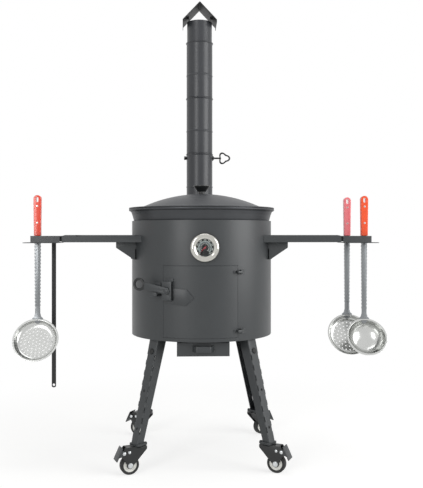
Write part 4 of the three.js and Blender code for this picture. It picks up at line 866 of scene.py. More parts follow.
class STOVE_OT_gauge(bpy.types.Operator):
    """Temperature gauge: bezel, dial with its print, needle, glass and nut"""

    bl_idname = "stove.gauge"
    bl_label = "Temperature gauge"

    def execute(self, context):
        self.put(self.case(), "gauge_bezel", "chromed_steel", "gauge_case")
        self.put(self.disc(206.3, DIAL_FACE, 0.2), "gauge_dial_disc", "dial_black", "gauge_dial")
        first, last = DIAL_START - DIAL_SWEEP, DIAL_START
        ring = arc(0, 0, 18.2, first, last, 60) + arc(0, 0, 13, last, first, 60)
        self.put(plate(ring, DIAL_FACE, DIAL_FACE + INK), "gauge_dial_band", "dial_grey")
        self.put(self.marks(), "gauge_marks", "dial_white")
        self.put(gather(*[self.number(i) for i in range(9)]), "gauge_numbers", "dial_white")
        self.put(self.needle(), "gauge_pointer", "needle_red", "gauge_needle", body="gauge_needle")
        self.put(self.disc(210.5, 212, 0.3), "gauge_window", "clear_glass", "gauge_glass")
        bore, radius, low, high = GAUGE_STEM_R, 9, 190.7, 194.7
        nut = turned([(bore, low), (radius, low, 0.4), (radius, high, 0.4), (bore, high)], 6)
        self.put(nut, "gauge_back_nut", "chromed_steel", "gauge_nut", smooth=20)
        return {"FINISHED"}

    def put(self, piece, name, slot, *nodes, body="stove", smooth=32):
        settle(out_of_front(piece, GAUGE_ANGLE, GAUGE_Z), name, body, slot, *nodes, smooth=smooth)

    def case(self):
        """Stem, back, flange and domed bezel in one outline."""
        inner = DIAL_R + GAP
        return turned(
            [
                (0, 187), (4.5, 187, 0.5), (4.5, SKIN), (inner, SKIN, 0.5), (37.7, 203.4, 0.4),
                *arc(30, 204.5, 8.5, 0, 90, 12), (28, 213, 0.5), (inner, 210.4, 0.3), (inner, 206), (0, 206),
            ],
            96,
        )

    def disc(self, low, high, edge):
        return turned([(0, low), (DIAL_R, low, 0.1), (DIAL_R, high, edge), (0, high)], 96)

    def marks(self):
        """Four marks to each number, its own longer, and a row of bars inside the band."""
        made, spaces, face = [], 32, DIAL_FACE
        for i in range(spaces + 1):
            angle = math.radians(DIAL_START - i * DIAL_SWEEP / spaces)
            inner = 14.4 if i % 4 == 0 else 16
            made.append(turn(block(inner, 18, -0.22, 0.22, face + INK, face + 2 * INK), angle))
            if i % 2 == 0:
                made.append(turn(block(9.6, 11.8, -0.4, 0.4, face, face + INK), angle))
        return gather(*made)

    def number(self, i):
        deselect()
        bpy.ops.object.text_add()
        text = bpy.context.object.data
        text.body = str(50 * (i + 1))
        text.size = 4.4
        text.align_x = text.align_y = "CENTER"
        text.extrude = INK / 2
        bpy.ops.object.convert(target="MESH")
        angle = math.radians(DIAL_START - i * DIAL_SWEEP / 8)
        return turn(move(bpy.context.object, 0, 20.4, DIAL_FACE + INK / 2), angle - math.pi / 2)

    def needle(self):
        low, high, top = 208, 208.9, 209.3
        hand = [(-5, -1.1, 0.4), (2.4, -1.1), (17, -0.15), (17, 0.15), (2.4, 1.1), (-5, 1.1, 0.4)]
        hub = turned([(0, 207.4), (2.4, 207.4), (2.4, high, 0.3), (1.2, top, 0.2), (0, top)], 32)
        return turn(gather(plate(hand, low, high), hub), math.radians(DIAL_START))


class STOVE_OT_cauldron(bpy.types.Operator):
    """Cast cauldron, its lid and the lid's knob"""

    bl_idname = "stove.cauldron"
    bl_label = "Cauldron and lid"

    def execute(self, context):
        settle(self.cauldron(), "cauldron_casting", "cauldron", "cast_iron", "cauldron")
        settle(self.lid(), "lid_casting", "lid", "cast_iron", "lid")
        settle(self.knob(), "lid_knob_turning", "lid", "black_steel", "lid_knob")
        return {"FINISHED"}

    def cauldron(self):
        outside = [(RIM_R, RIM_TOP, 2), (RIM_R, 697.2, 2.4), (202.8, 694.2, 3), (199, 684, 10)]
        outside += [(194.5, DRUM_TOP, 6), *self.bowl(190, 160)]
        inside = [(189.5, DRUM_TOP, 6), (194, 684, 10), (195.5, 694), (195.5, RIM_TOP, 2)]
        return turned(outside + self.bowl(185, 155)[::-1] + inside, sizes().sides)

    def bowl(self, radius, depth):
        top, steps = DRUM_TOP - 28, 16
        angles = [math.pi / 2 * i / steps for i in range(steps)]
        return [(radius * math.cos(a), top - depth * math.sin(a)) for a in angles] + [(0, top - depth)]

    def lid(self):
        low, high, bead, lip = LID_LOW, LID_LOW + LID_SHEET, LID_LOW - 6, 192
        top, under = self.dome(0), self.dome(LID_SHEET)[::-1]
        top[0] = (*top[0], 12)
        profile = [(RIM_R, low, 1.2), (RIM_R, high, 1.6), *top, *under]
        profile += [(lip, low), (lip, bead, 0.8), (195.2, bead, 0.8), (195.2, low)]
        return turned(profile, sizes().sides)

    def dome(self, offset):
        """The lid's crown from its foot to the axis, as part of a sphere, offset downwards."""
        steps, sphere = 14, (LID_DOME_R**2 + LID_RISE**2) / (2 * LID_RISE)
        centre = LID_LOW + LID_SHEET + LID_RISE - offset - sphere
        radii = [LID_DOME_R * (1 - i / steps) for i in range(steps + 1)]
        return [(r, centre + math.sqrt(sphere**2 - r**2)) for r in radii]

    def knob(self):
        base = LID_LOW + LID_SHEET + LID_RISE + GAP
        return turned(
            [
                (0, base), (9, base, 0.5), (9, base + 7), (12.5, base + 7, 1), (23.5, base + 22, 1),
                (23.5, base + 24, 1), (21, base + 25, 1), (0, base + 25),
            ],
            64,
        )


class STOVE_OT_chimney(bpy.types.Operator):
    """Flue stub, three stove pipes, damper and rain cap"""

    bl_idname = "stove.chimney"
    bl_label = "Chimney"

    def execute(self, context):
        settle(self.stub(), "flue_stub_welded", "stove", "coated_pipe", "flue_stub")
        for name, foot in zip(("lower", "middle", "upper"), PIPE_FEET):
            pipe = self.pipe(foot)
            if name == "lower":
                cut(pipe, rod(DAMPER_HOLE_R, (-60, CHIMNEY_Y, DAMPER_Z), (60, CHIMNEY_Y, DAMPER_Z)))
            settle(pipe, "stove_pipe_" + name, "chimney_" + name, "coated_pipe", "chimney_pipe_" + name)
        settle(self.flap(), "damper_flap", "damper", "black_steel", "damper_plate")
        settle(self.damper_rod(), "damper_rod_and_loop", "damper", "black_steel", "damper_rod")
        # The rain cap's coat is painted darker, as painted shade for its underside.
        settle(self.cap(), "rain_cap_roof", "rain_cap", "cap_coat_painted_shade", "rain_cap")
        return {"FINISHED"}

    def bead(self, z):
        """A pipe's top bead, and the neck above it that the next pipe stands on."""
        reach = PIPE_R + 2.2
        return [(PIPE_R, z - 6.4, 0.8), (reach, z - 3.6, 1.2), (reach, z - 1.6, 1), (SPIGOT_R, z - GAP, 0.3)]

    def stub(self):
        foot, spigot_top, wall = PIPE_FEET[0], PIPE_FEET[0] + 65, 2
        profile = [(0, STUB_LOW), (PIPE_R, STUB_LOW, 1), *self.bead(foot)]
        profile += [(SPIGOT_R, spigot_top, 0.3), (0, spigot_top)]
        stub = move(turned(profile, PIPE_SIDES), y=CHIMNEY_Y)
        duct = block(-PORT_HALF - wall, PORT_HALF + wall, 0, CHIMNEY_Y, PORT_LOW - wall, PORT_TOP + wall)
        cut(duct, sheet_ring(1, SKIN, 500, 700))
        flange = sheet_ring(SKIN, SKIN + wall, STUB_LOW, FLANGE_TOP)
        common(flange, block(-59, 59, 0, FAR, STUB_LOW, FLANGE_TOP))
        weld(stub, duct, flange)
        low, high = STUB_LOW + wall, foot + 70
        bore = rod(SPIGOT_R - PIPE_WALL, (0, CHIMNEY_Y, low), (0, CHIMNEY_Y, high), PIPE_SIDES)
        cut(stub, bore, block(-PORT_HALF, PORT_HALF, 0, CHIMNEY_Y, PORT_LOW, PORT_TOP))
        return bevel(stub, *THIN_EDGE)

    def pipe(self, foot):
        low, top, spigot_top = foot + 72, foot + PIPE_PITCH, foot + PIPE_LENGTH
        inner, spigot = PIPE_R - PIPE_WALL, SPIGOT_R - PIPE_WALL
        profile = [
            (PIPE_R, foot, 0.3), (PIPE_R, low - 4, 1.5), (PIPE_R + 1.2, low, 1.5), (PIPE_R, low + 4, 1.5),
            *self.bead(top), (SPIGOT_R, spigot_top), (spigot, spigot_top), (spigot, top - 3),
            (inner, top - 6.5), (inner, foot),
        ]
        return move(turned(profile, PIPE_SIDES), y=CHIMNEY_Y)

    def flap(self):
        """Round sheet that closes the pipe, held against the back of the damper's rod."""
        radius, sheet, front = 36, 1.5, CHIMNEY_Y + DAMPER_ROD_R + GAP
        return bevel(rod(radius, (0, front, DAMPER_Z), (0, front + sheet, DAMPER_Z), PIPE_SIDES), 0.4)

    def damper_rod(self):
        """Rod through the pipe with a nut, a bush and a wire loop of three lobes."""
        lobes, swell, bore = 3, 0.22, 2.6
        deselect()
        bpy.ops.mesh.primitive_torus_add(
            major_radius=DAMPER_LOOP_R, minor_radius=DAMPER_ROD_R, major_segments=96, minor_segments=16,
            rotation=(math.pi / 2, 0, 0),
        )
        loop = placed()
        for corner in loop.data.vertices:
            x, y, z = corner.co
            out = math.hypot(x, z)
            share = (out + DAMPER_LOOP_R * swell * math.cos(lobes * math.atan2(z, x))) / out
            corner.co = (x * share, y, z * share)
        move(loop, 79.7)
        shaft = rod(DAMPER_ROD_R, (-50, 0, 0), (70, 0, 0), 24)
        nut = turned([(bore, -50.3, 0.4), (6.5, -50.3, 0.6), (6.5, -42.3, 0.6), (bore, -42.3)], 6)
        bush = [(bore, 42.3), (8.5, 42.3, 0.6), (8.5, 43.6, 0.8), (3.4, 48.3, 0.5), (bore, 48.3)]
        parts = turn(nut, math.pi / 2, "Y"), turn(turned(bush, 40), math.pi / 2, "Y")
        return move(gather(loop, shaft, *parts), 0, CHIMNEY_Y, DAMPER_Z)

    def cap(self):
        """Folded ridge roof on two tabs that stand in the top pipe."""
        half, sheet, skirt = 55, 1.6, 9
        eave = CAP_Z - CAP_RISE
        foot = eave - skirt
        under = sheet * math.hypot(half, CAP_RISE) / half
        kink = eave - under + sheet * CAP_RISE / half
        roof = plate(
            [
                (0, CAP_Z, 2), (-half, eave, 1.2), (-half, foot, 0.5), (sheet - half, foot, 0.5),
                (sheet - half, kink), (0, CAP_Z - under, 1), (half - sheet, kink), (half - sheet, foot, 0.5),
                (half, foot, 0.5), (half, eave, 1.2),
            ],
            -48, 48, "Y",
        )
        bevel(roof, *THIN_EDGE)
        low, high, tab_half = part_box("rain_cap")[0].z / MM, CAP_Z - 40, 15
        # The tabs' outer corners stay inside the flat sides of the CAD's pipe, which has sixteen.
        wall = math.sqrt(((SPIGOT_R - PIPE_WALL) * math.cos(math.pi / 16)) ** 2 - tab_half**2) - GAP
        starts = (-wall, wall - sheet)
        tabs = [bevel(block(x, x + sheet, -tab_half, tab_half, low, high), 0.4, 1) for x in starts]
        return move(gather(roof, *tabs), y=CHIMNEY_Y)


class STOVE_OT_drawer(bpy.types.Operator):
    """Ash drawer, its handle and its sleeve"""

    bl_idname = "stove.drawer"
    bl_label = "Ash drawer"

    def execute(self, context):
        settle(self.tray(), "ash_drawer_tray", "ash_drawer", "coated_steel", "ash_drawer")
        settle(self.bow(), "ash_drawer_bow", "ash_drawer", "coated_steel", "drawer_handle")
        settle(self.sleeve(), "drawer_sleeve_folded", "stove", "coated_steel", "drawer_sleeve")
        return {"FINISHED"}

    def tray(self):
        half, face_half, low, sheet, back = 67.5, 70.1, 311.4, 1.5, 80
        inside = half - sheet
        face_back = TRAY_FRONT + sheet
        tray = block(-half, half, TRAY_FRONT, back, low, TRAY_TOP)
        weld(tray, block(-face_half, face_half, TRAY_FRONT, face_back, 305.8, LEG_TOP))
        hollow = block(-inside, inside, face_back, back - sheet, low + sheet, 350)
        cut(tray, hollow, block(-80, 80, -180, -168, TRAY_TOP - 2, 350))
        return bevel(tray, sizes().edge)

    def bow(self):
        """Bow handle, bent from flat bar."""
        back, front, bar = TRAY_FRONT - GAP, TRAY_FRONT - GAP - 20, 2.5
        outline = [
            (-29, back), (-19, front, 5), (19, front, 5), (29, back), (29 - bar, back),
            (19 - bar, front + bar, 3), (bar - 19, front + bar, 3), (bar - 29, back),
        ]
        return bevel(plate(outline, 318.4, 334.4), 0.5)

    def sleeve(self):
        """Open box under the drum, with flanges below that the drawer runs on."""
        half, front, back, low, sheet, ledge = 70.1, -168.2, 82.6, 308.8, 2, 14
        sleeve = bevel(block(-half, half, front, back, low, 352), 1.6, 3)
        top = block(-90, 90, -200, 120, LEG_TOP, 360)
        inside = block(sheet - half, half - sheet, -180, back - sheet, low + sheet, 360)
        return cut(sleeve, top, inside, block(ledge - half, half - ledge, -180, back - ledge, 300, 320))


class STOVE_OT_legs(bpy.types.Operator):
    """Folded sheet legs with their bolts, foot plates and kingpins"""

    bl_idname = "stove.legs"
    bl_label = "Legs"

    def execute(self, context):
        models = self.channel(), self.foot(), self.bolts()
        for corner, degrees in LEG_TURNS.items():
            leg, foot, bolts = [turn(copy_of(model), math.radians(degrees)) for model in models]
            settle(gather(leg, foot), "leg_folded_" + corner, "stove", "coated_steel", "leg_" + corner)
            settle(bolts, "leg_bolts_" + corner, "stove", "oxide_steel")
        remove(*models)
        return {"FINISHED"}

    def channel(self):
        """Leg folded to a channel that is open towards the drum, with holes and slots along its folds."""
        body = bevel(leg_solid(0, 0, LEG_FOOT - 4, LEG_TOP + 4, 8), sizes().fold, 4)
        common(body, leg_solid(-3, -3, LEG_FOOT, LEG_TOP))
        cut(body, bevel(leg_solid(LEG_SHEET, LEG_SHEET, LEG_FOOT - 8, LEG_TOP + 8, 14), 1, 3))
        holes = ((117.6, 3.5), (213.5, 3.5), (LEG_BOLT_Z, LEG_BOLT_HOLE_R))
        drills = [rod(radius, (150, 0, z), (270, 0, z)) for z, radius in holes]
        inset, half, length, slots = 1.1, 2.2, 15, []
        for percent in range(12, 83, 10):
            z = LEG_FOOT + percent / 100 * (LEG_TOP - LEG_FOOT)
            for side in (-1, 1):
                slot = turn(block(-half, half, -half, half, -length / 2, length / 2), -LEG_TILT, "Y")
                move(slot, lean(z, LEG_FACE) - inset, side * (lean(z, LEG_WIDTH) / 2 - inset), z)
                slots.append(slot)
        return cut(body, gather(*drills), gather(*slots))

    def foot(self):
        """Foot plate on the caster's plate, with the kingpin's race, pin and head under them."""
        low, high = SWIVEL_REACH - FOOT_HALF, SWIVEL_REACH + FOOT_HALF
        corners = [(low, -FOOT_HALF, 3), (high, -FOOT_HALF, 3), (high, FOOT_HALF, 3), (low, FOOT_HALF, 3)]
        levels = ((74.5, 77), (77 + GAP, LEG_FOOT))
        plates = [bevel(plate(corners, z0, z1), 0.4, 2, 50) for z0, z1 in levels]
        race = turned([(0, 73.3), (14, 73.3, 0.8), (14, 74.2, 0.8), (11, 74.7), (0, 74.7)], 48)
        pin = turned([(4, 68), (4, 75), (0, 75), (0, 68)], 32)
        head = turned([(0, 66.7), (7, 66.7, 0.8), (7, 69.7, 0.3), (0, 69.7)], 6)
        return gather(*plates, move(gather(race, pin, head), SWIVEL_REACH))

    def bolts(self):
        """Round-headed bolt with its nut at a leg's top, and the heads of the foot plate's two bolts."""
        head = turned([(0, -6), (3.9, -6), (3.9, 0), (8.2, 0, 0.5), (7.6, 2.4, 2), (4, 3.8, 2), (0, 4)], 40)
        nut = turned([(0, -9.6), (3.9, -9.6), (7.4, -9.6, 0.5), (7.4, -4.6, 0.5), (0, -4.6)], 6)
        bolt = turn(gather(head, nut), math.pi / 2 - LEG_TILT, "Y")
        made = [move(bolt, lean(LEG_BOLT_Z, LEG_FACE), 0, LEG_BOLT_Z)]
        low, high, inset = LEG_FOOT, LEG_FOOT + 1.8, 13
        for y in (-inset, inset):
            cap = turned([(0, low), (3.4, low, 0.4), (3.4, high, 0.8), (0, high)], 24)
            made.append(move(cap, SWIVEL_REACH - inset, y))
        return gather(*made)


class STOVE_OT_casters(bpy.types.Operator):
    """Casters: fork with its axle, rivets, wheel and brake pedal"""

    bl_idname = "stove.casters"
    bl_label = "Casters"

    def execute(self, context):
        # Each model with its pieces' name, body and finish, and the name of the CAD nodes that they replace
        models = (
            (self.fork(), "caster_fork_pressed_", "caster_", "black_steel", "caster_fork_"),
            (self.bolts(), "caster_bolts_", "caster_", "zinc_plate", None),
            (self.tyre(), "caster_tyre_", "wheel_", "wheel_black", "caster_wheel_"),
            (self.ring(), "caster_ring_", "wheel_", "wheel_white", None),
            (self.hub(), "caster_hub_", "wheel_", "wheel_hub", None),
            (self.pedal(), "brake_pedal_pressed_", "brake_", "coated_steel", "brake_pedal_"),
        )
        for model, name, body, slot, node_name in models:
            for corner, degrees in CASTER_TURNS.items():
                piece = turn(copy_of(model), math.radians(degrees))
                around = math.radians(LEG_TURNS[corner])
                move(piece, SWIVEL_REACH * math.cos(around), SWIVEL_REACH * math.sin(around))
                nodes = [node_name + corner] if node_name else []
                settle(piece, name + corner, body + corner, slot, *nodes)
            remove(model)
        return {"FINISHED"}

    def fork(self):
        """Two cheeks under a crown, pressed from one sheet, and the cup on top that the race turns in."""
        outer, inner = 12.5, 10.5
        around_axle = arc(*AXLE, 8, 180, 360, 12)
        outline = [(-20, 73, 1), (-20, 65, 4), *around_axle, (48.5, 53, 4), (48.5, 59, 4), (38.5, 73, 2)]
        cheeks = plate(outline, -outer, outer, "Y")
        space = bevel(block(-40, 60, -inner, inner, -5, 70), 1.2, 3)
        cut(cheeks, space, block(36, 85, -inner, inner, 0, 80), rod(4.3, (0, 0, 60), (0, 0, 80)))
        cup = turned([(4.4, 69.7), (16.5, 69.7), (16.5, 70.4, 0.8), (14.5, 72.6, 1), (4.4, 72.6)], 48)
        return gather(bevel(cheeks, 0.7), cup)

    def bolts(self):
        """Axle, brake pin and rivet, each with a head on both sides of the fork."""
        made = []
        for side in (-1, 1):
            washer = turned([(0, 12), (7, 12.3, 0.2), (7, 13, 0.3), (0, 13)], 32)
            axle = gather(turned([(0, 12), (3, 12), (6, 12.6, 0.3), (6, 15.2, 0.9), (0, 15.5)], 6), washer)
            pin = [(0, 12.4), (2.5, 12.4), (2.5, 15), (4.6, 15, 0.3), (4.3, 16.3, 1), (2, 17, 1), (0, 17)]
            rivet = [(0, 12.2), (3.9, 12.2, 0.2), (3.7, 13.2, 1), (1.8, 14, 1), (0, 14)]
            heads = ((axle, AXLE), (turned(pin, 32), BRAKE_PIN), (turned(rivet, 32), FORK_RIVET))
            for head, (x, z) in heads:
                made.append(move(turn(head, -side * math.pi / 2, "X"), x, 0, z))
        for radius, place, half in ((3, AXLE, 12.2), (2.5, BRAKE_PIN, 14), (2.5, FORK_RIVET, 12.4)):
            made.append(across(radius, place, half, 24))
        return gather(*made)

    def tyre(self):
        return self.wheel([(17.4, 7.4), (19, 8.6, 0.8), (22, 9, 1), (24, 8.4, 1.5), (25, 6, 2)])

    def ring(self):
        return self.wheel([(9.4, 7.4), (10.2, 7.4, 0.3), (13, 6.8, 1), (16, 7.6, 1), (17.4, 7.6, 0.2)])

    def hub(self):
        return self.wheel([(3.4, 9), (7.5, 9, 0.5), (9.4, 7.6, 0.3)])

    def wheel(self, half):
        """A part of the wheel from the outline of its right half, from the axle outwards."""
        profile = [(r, -z, *radius) for r, z, *radius in half] + half[::-1]
        x, z = AXLE
        return move(turn(turned(profile, 72), math.pi / 2, "X"), x, 0, z)

    def pedal(self):
        """Bent tread with four ribs, on two arms from the brake pin."""
        top, foot, sheet = Vector((45.5, 72.5)), Vector((61.5, 39)), 2.5
        slope = foot - top
        along = slope.normalized()
        out = Vector((-along.y, along.x)) * sheet
        bend = (top + slope * 0.6) + out * 0.1
        corners = (top, bend, foot, foot + out, bend + out, top + out)
        tread = bevel(plate([tuple(corner) for corner in corners], -16, 16, "Y"), 0.8, 3)
        ribs = []
        for i in range(4):
            middle = top + slope * (0.2 + 0.18 * i) + out
            rib = turn(block(-0.5, 0.5, -12, 12, -1.2, 1.2), math.atan2(-along.x, -along.y), "Y")
            ribs.append(move(bevel(rib, 0.3, 1), middle.x, 0, middle.y))
        outline = arc(*BRAKE_PIN, 6, 90, 270, 12)
        outline += [tuple(top + slope * share + out * 0.6) for share in (0.75, 0.15)]
        arms = []
        for y in (12.8, -14.8):
            arm = cut(plate(outline, y, y + 2, "Y"), across(2.8, BRAKE_PIN, 20, 24))
            arms.append(bevel(arm, 0.4))
        return gather(tread, *ribs, *arms)


class STOVE_OT_shelves(bpy.types.Operator):
    """Side shelves, their brackets and the slotted utensil racks"""

    bl_idname = "stove.shelves"
    bl_label = "Shelves"

    def execute(self, context):
        for side in ("left", "right"):
            pieces = (
                (self.shelf(side == "left"), "shelf_folded_", ["shelf_" + side]),
                (self.rack(), "rack_plate_", ["utensil_rack_" + side]),
                (self.bracket(), "bracket_welded_", ["shelf_bracket_" + side]),
                (self.bolts(), "shelf_bolts_", []),
            )
            for piece, name, nodes in pieces:
                if side == "left":
                    flip(piece)
                settle(piece, name + side, "stove", "coated_steel", *nodes)
        return {"FINISHED"}

    def channels(self, start, z0, z1):
        """Slots, open towards the drum, that the utensils hang in."""
        half, past = 3, 10.5
        places = ((FRONT_HANG, FRONT_CHANNEL), (BACK_HANG, BACK_CHANNEL))
        return [block(start, x + past, y - half, y + half, z0, z1) for x, y in places]

    def shelf(self, notched):
        """Tray folded downwards, with a lower end behind a sloping step, drawn as the right-hand one."""
        half, sheet, low, high = SHELF_HALF, SHELF_SHEET, 590, 650
        inner = half - sheet
        slab = bevel(block(150, SHELF_END, -half, half, 596, SHELF_TOP), sizes().fold, 4)
        hollows = [
            cut(block(100, x, -inner, inner, low, top - sheet), drum_core(SKIN + sheet, low - 10, 640))
            for x, top in ((SHELF_STEP, SHELF_TOP), (SHELF_END - sheet, SHELF_END_TOP))
        ]
        step = plate(
            [
                (SHELF_STEP - 9, SHELF_TOP), (SHELF_STEP, SHELF_END_TOP), (480, SHELF_END_TOP), (480, high),
                (SHELF_STEP - 9, high),
            ],
            -120, 120, "Y",
        )
        gate = block(SHELF_STEP, SHELF_STEP + 6, *GATE, low, high)
        below = block(100, 500, -130, 130, low - 10, SHELF_LOW)
        tools = [below, *hollows, step, drum_core(SKIN, low - 10, high), gate]
        if notched:
            notch = [(331, 640), (334, 624.6, 2), (346, 624.6, 2), (349, 640)]
            tools.append(plate(notch, -130, -100, "Y"))
        cut(slab, *tools, *self.channels(SHELF_STEP, low, high))
        return bevel(slab, 0.3, 1, 50)

    def rack(self):
        left, right, front, back = 398, 489, -SHELF_HALF, 10
        corners = [(left, front, 2), (right, front, 3), (right, back, 3), (left, back, 2)]
        sheet = plate(corners, RACK_TOP - 2, RACK_TOP)
        return bevel(cut(sheet, *self.channels(390, 600, 612)), 0.4, 2, 50)

    def bracket(self):
        """Back plate on the drum with two gussets under the shelf."""
        foot, back_top, nose, reach = 560, 590, 592.7, 239
        high, half, place = SHELF_TOP - SHELF_SHEET - GAP, BRACKET_SHEET / 2, 80
        gussets = []
        for y in (-place, place):
            heel = math.sqrt(DRUM_R**2 - y**2) + 7
            outline = [(100, foot), (heel, foot, 2), (reach, nose, 2), (reach, high), (100, high)]
            gusset = plate(outline, y - half, y + half, "Y")
            beside_shelf = drum_core(SKIN + SHELF_SHEET + GAP, SHELF_LOW - GAP, 640)
            gussets.append(bevel(cut(gusset, drum_core(SKIN, 550, 640), beside_shelf), *CUT_EDGE))
        back = sheet_ring(SKIN, SKIN + BRACKET_SHEET, foot, back_top)
        common(back, block(0, FAR, -place - half, place + half, foot, back_top))
        return gather(bevel(back, *CUT_EDGE), *gussets)

    def bolts(self):
        made, seat = [], SKIN + BRACKET_SHEET
        for y in (-50, 50):
            head = turned([(0, seat), (6.5, seat, 0.4), (6.5, seat + 3.7, 1), (0, seat + 4.1)], 6)
            made.append(turn(move(turn(head, math.pi / 2, "Y"), z=575), math.asin(y / seat)))
        return gather(*made)


class STOVE_OT_utensils(bpy.types.Operator):
    """Two skimmers, a ladle and a poker, hung in the racks"""

    bl_idname = "stove.utensils"
    bl_label = "Utensils"

    def execute(self, context):
        skimmer = self.pair(radius=62, flat=42, depth=17, tilt=60, drop=281, holed=True)
        ladle = self.pair(radius=56, flat=12, depth=40, tilt=55, drop=277, holed=False)
        places = (
            ("skimmer_left", skimmer, "grip_red", -FRONT_HANG, FRONT_CHANNEL),
            ("skimmer_right", skimmer, "grip_pink", BACK_HANG, BACK_CHANNEL),
            ("ladle", ladle, "grip_orange", FRONT_HANG, FRONT_CHANNEL),
        )
        grip, rivets = self.grip(), self.rivets()
        for name, (bowl, stem), colour, x, y in places:
            parts = (
                (bowl, "_pressed_bowl", "stainless_steel", [name + "_steel"]),
                # The stems' steel carries a darker grey of painted shade.
                (stem, "_flat_stem", "brushed_steel_painted_shade", []),
                (grip, "_moulded_grip", colour, [name + "_grip"]),
                (rivets, "_rivets", "stainless_steel", []),
            )
            for model, ending, slot, nodes in parts:
                settle(move(copy_of(model), x, y, SHELF_END_TOP), name + ending, name, slot, *nodes)
        remove(*skimmer, *ladle, grip, rivets)
        settle(self.poker(), "poker_bar", "poker", "black_steel", "poker")
        return {"FINISHED"}

    def pair(self, radius, flat, depth, tilt, drop, holed):
        """A tilted bowl whose middle hangs a drop below the shelf's end, and the stem that reaches it."""
        angle = math.radians(tilt)
        bowl = self.bowl(radius, flat, depth)
        if holed:
            cut(bowl, self.drills())
        move(turn(bowl, angle, "X"), 0, -radius * math.cos(angle), -drop)
        return bowl, self.stem(radius * math.sin(angle) - drop)

    def bowl(self, radius, flat, depth):
        """Thin bowl with a flat middle and a rim that is turned outwards."""
        sheet, neck, steps, under, top = 1.5, radius - 3.5, 10, -1.2, 0.3

        def side(inset):
            angles = [math.pi / 2 * i / steps for i in range(steps)]
            reach, fall = neck - inset - flat, depth - inset
            return [(flat + reach * math.sin(a), -fall * math.cos(a)) for a in angles]

        rim = [(neck, under, 0.8), (radius, under, 0.5), (radius, top, 0.5), (neck - sheet, top, 1)]
        return turned([(0, -depth)] + side(0) + rim + side(sheet)[::-1] + [(0, sheet - depth)], 72)

    def drills(self):
        """Rods for the skimmer's holes: one in the middle and four rings round it."""
        rings, pitch, made = 5, 10.5, []
        for ring in range(rings):
            count = 6 * ring or 1
            for i in range(count):
                angle = 2 * math.pi * (i + 0.5 * (ring % 2)) / count
                x, y = pitch * ring * math.cos(angle), pitch * ring * math.sin(angle)
                made.append(rod(2, (x, y, -40), (x, y, 5), 12))
        return gather(*made)

    def stem(self, rim):
        """Flat stem with waved edges, which spreads to a rounded tongue inside the bowl."""
        low, high, pitch, half = rim + 30, -GAP, 9.5, 1.5
        steps = round((high - low) / pitch) * 8
        right = [
            (4, rim - 14, 4), (8.5, rim - 7, 4), (15.5, rim + 0.5, 1.5), (9.4, rim + 5, 5),
            (6.9, rim + 15, 8), (6.9, rim + 26),
        ]
        for i in range(steps + 1):
            z = low + (high - low) * i / steps
            wave = 0.7 * math.cos(2 * math.pi * (z - high) / pitch)
            right.append((7.1 + 1.4 * i / steps + wave, z))
        blade = plate([(-x, z, *r) for x, z, *r in right] + right[::-1], -half, half, "Y")
        bevel(blade, 0.5, 2, 40)
        tang = block(-6, 6, -half, half, -1, GRIP_STRAIGHT)
        rib = bevel(block(-3.4, 3.4, -2.2, 0, low + 4, high - 6), 1, 3)
        return gather(blade, tang, rib)

    def grip(self):
        """Handle with a rounded end, a long hole to hang it by and a pocket for the tang."""
        half, top = 7, GRIP_STRAIGHT
        outline = [(-9.2, GAP, 2), (9.2, GAP, 2), (10.4, top), *arc(0, 101.5, 10.5, 0, 180, 24), (-10.4, top)]
        grip = bevel(plate(outline, -half, half, "Y"), 3, 5, 50)
        hole = plate(arc(0, 103, 3.4, 0, 180, 12) + arc(0, 96, 3.4, 180, 360, 12), -10, 10, "Y")
        return cut(grip, hole, block(-6.3, 6.3, -1.8, 1.8, -5, top + GAP))

    def rivets(self):
        made = []
        for z in (36, 82):
            for side in (-1, 1):
                head = turned([(0, 1.8), (1.8, 1.8), (2.9, 6.4, 0.3), (2.7, 7.3, 0.6), (0, 7.5)], 32)
                made.append(move(turn(head, -side * math.pi / 2, "X"), z=z))
        return gather(*made)

    def poker(self):
        """Flat bar with an eye at its foot and a hook at its top."""
        low, seat, top, half, eye_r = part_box("poker")[0].z / MM, RACK_TOP + GAP, 612, 6, 7.5
        eye = low + eye_r
        hook = [(-8, low), (-4, low), (-4, seat), (10, seat, 1), (10, top, 1), (-8, top, 4)]
        bar = plate(hook, -half, half, "X")
        face = weld(block(-half, half, -30, 30, eye, top + 5), across(eye_r, (0, eye), 30, 40))
        cut(common(bar, face), across(3.6, (0, eye), 30))
        return move(bevel(bar, *CUT_EDGE), -BACK_HANG)


class STOVE_OT_finishes(bpy.types.Operator):
    """Gives the CAD nodes the finishes of their slots"""

    bl_idname = "stove.finishes"
    bl_label = "Finishes"

    def execute(self, context):
        slots = {part["node"]: part["material_slot"] for part in frame["record"]["subparts"]}
        for name, piece in frame["nodes"].items():
            piece.data.materials.clear()
            piece.data.materials.append(finish_for(slots[name]))
        return {"FINISHED"}


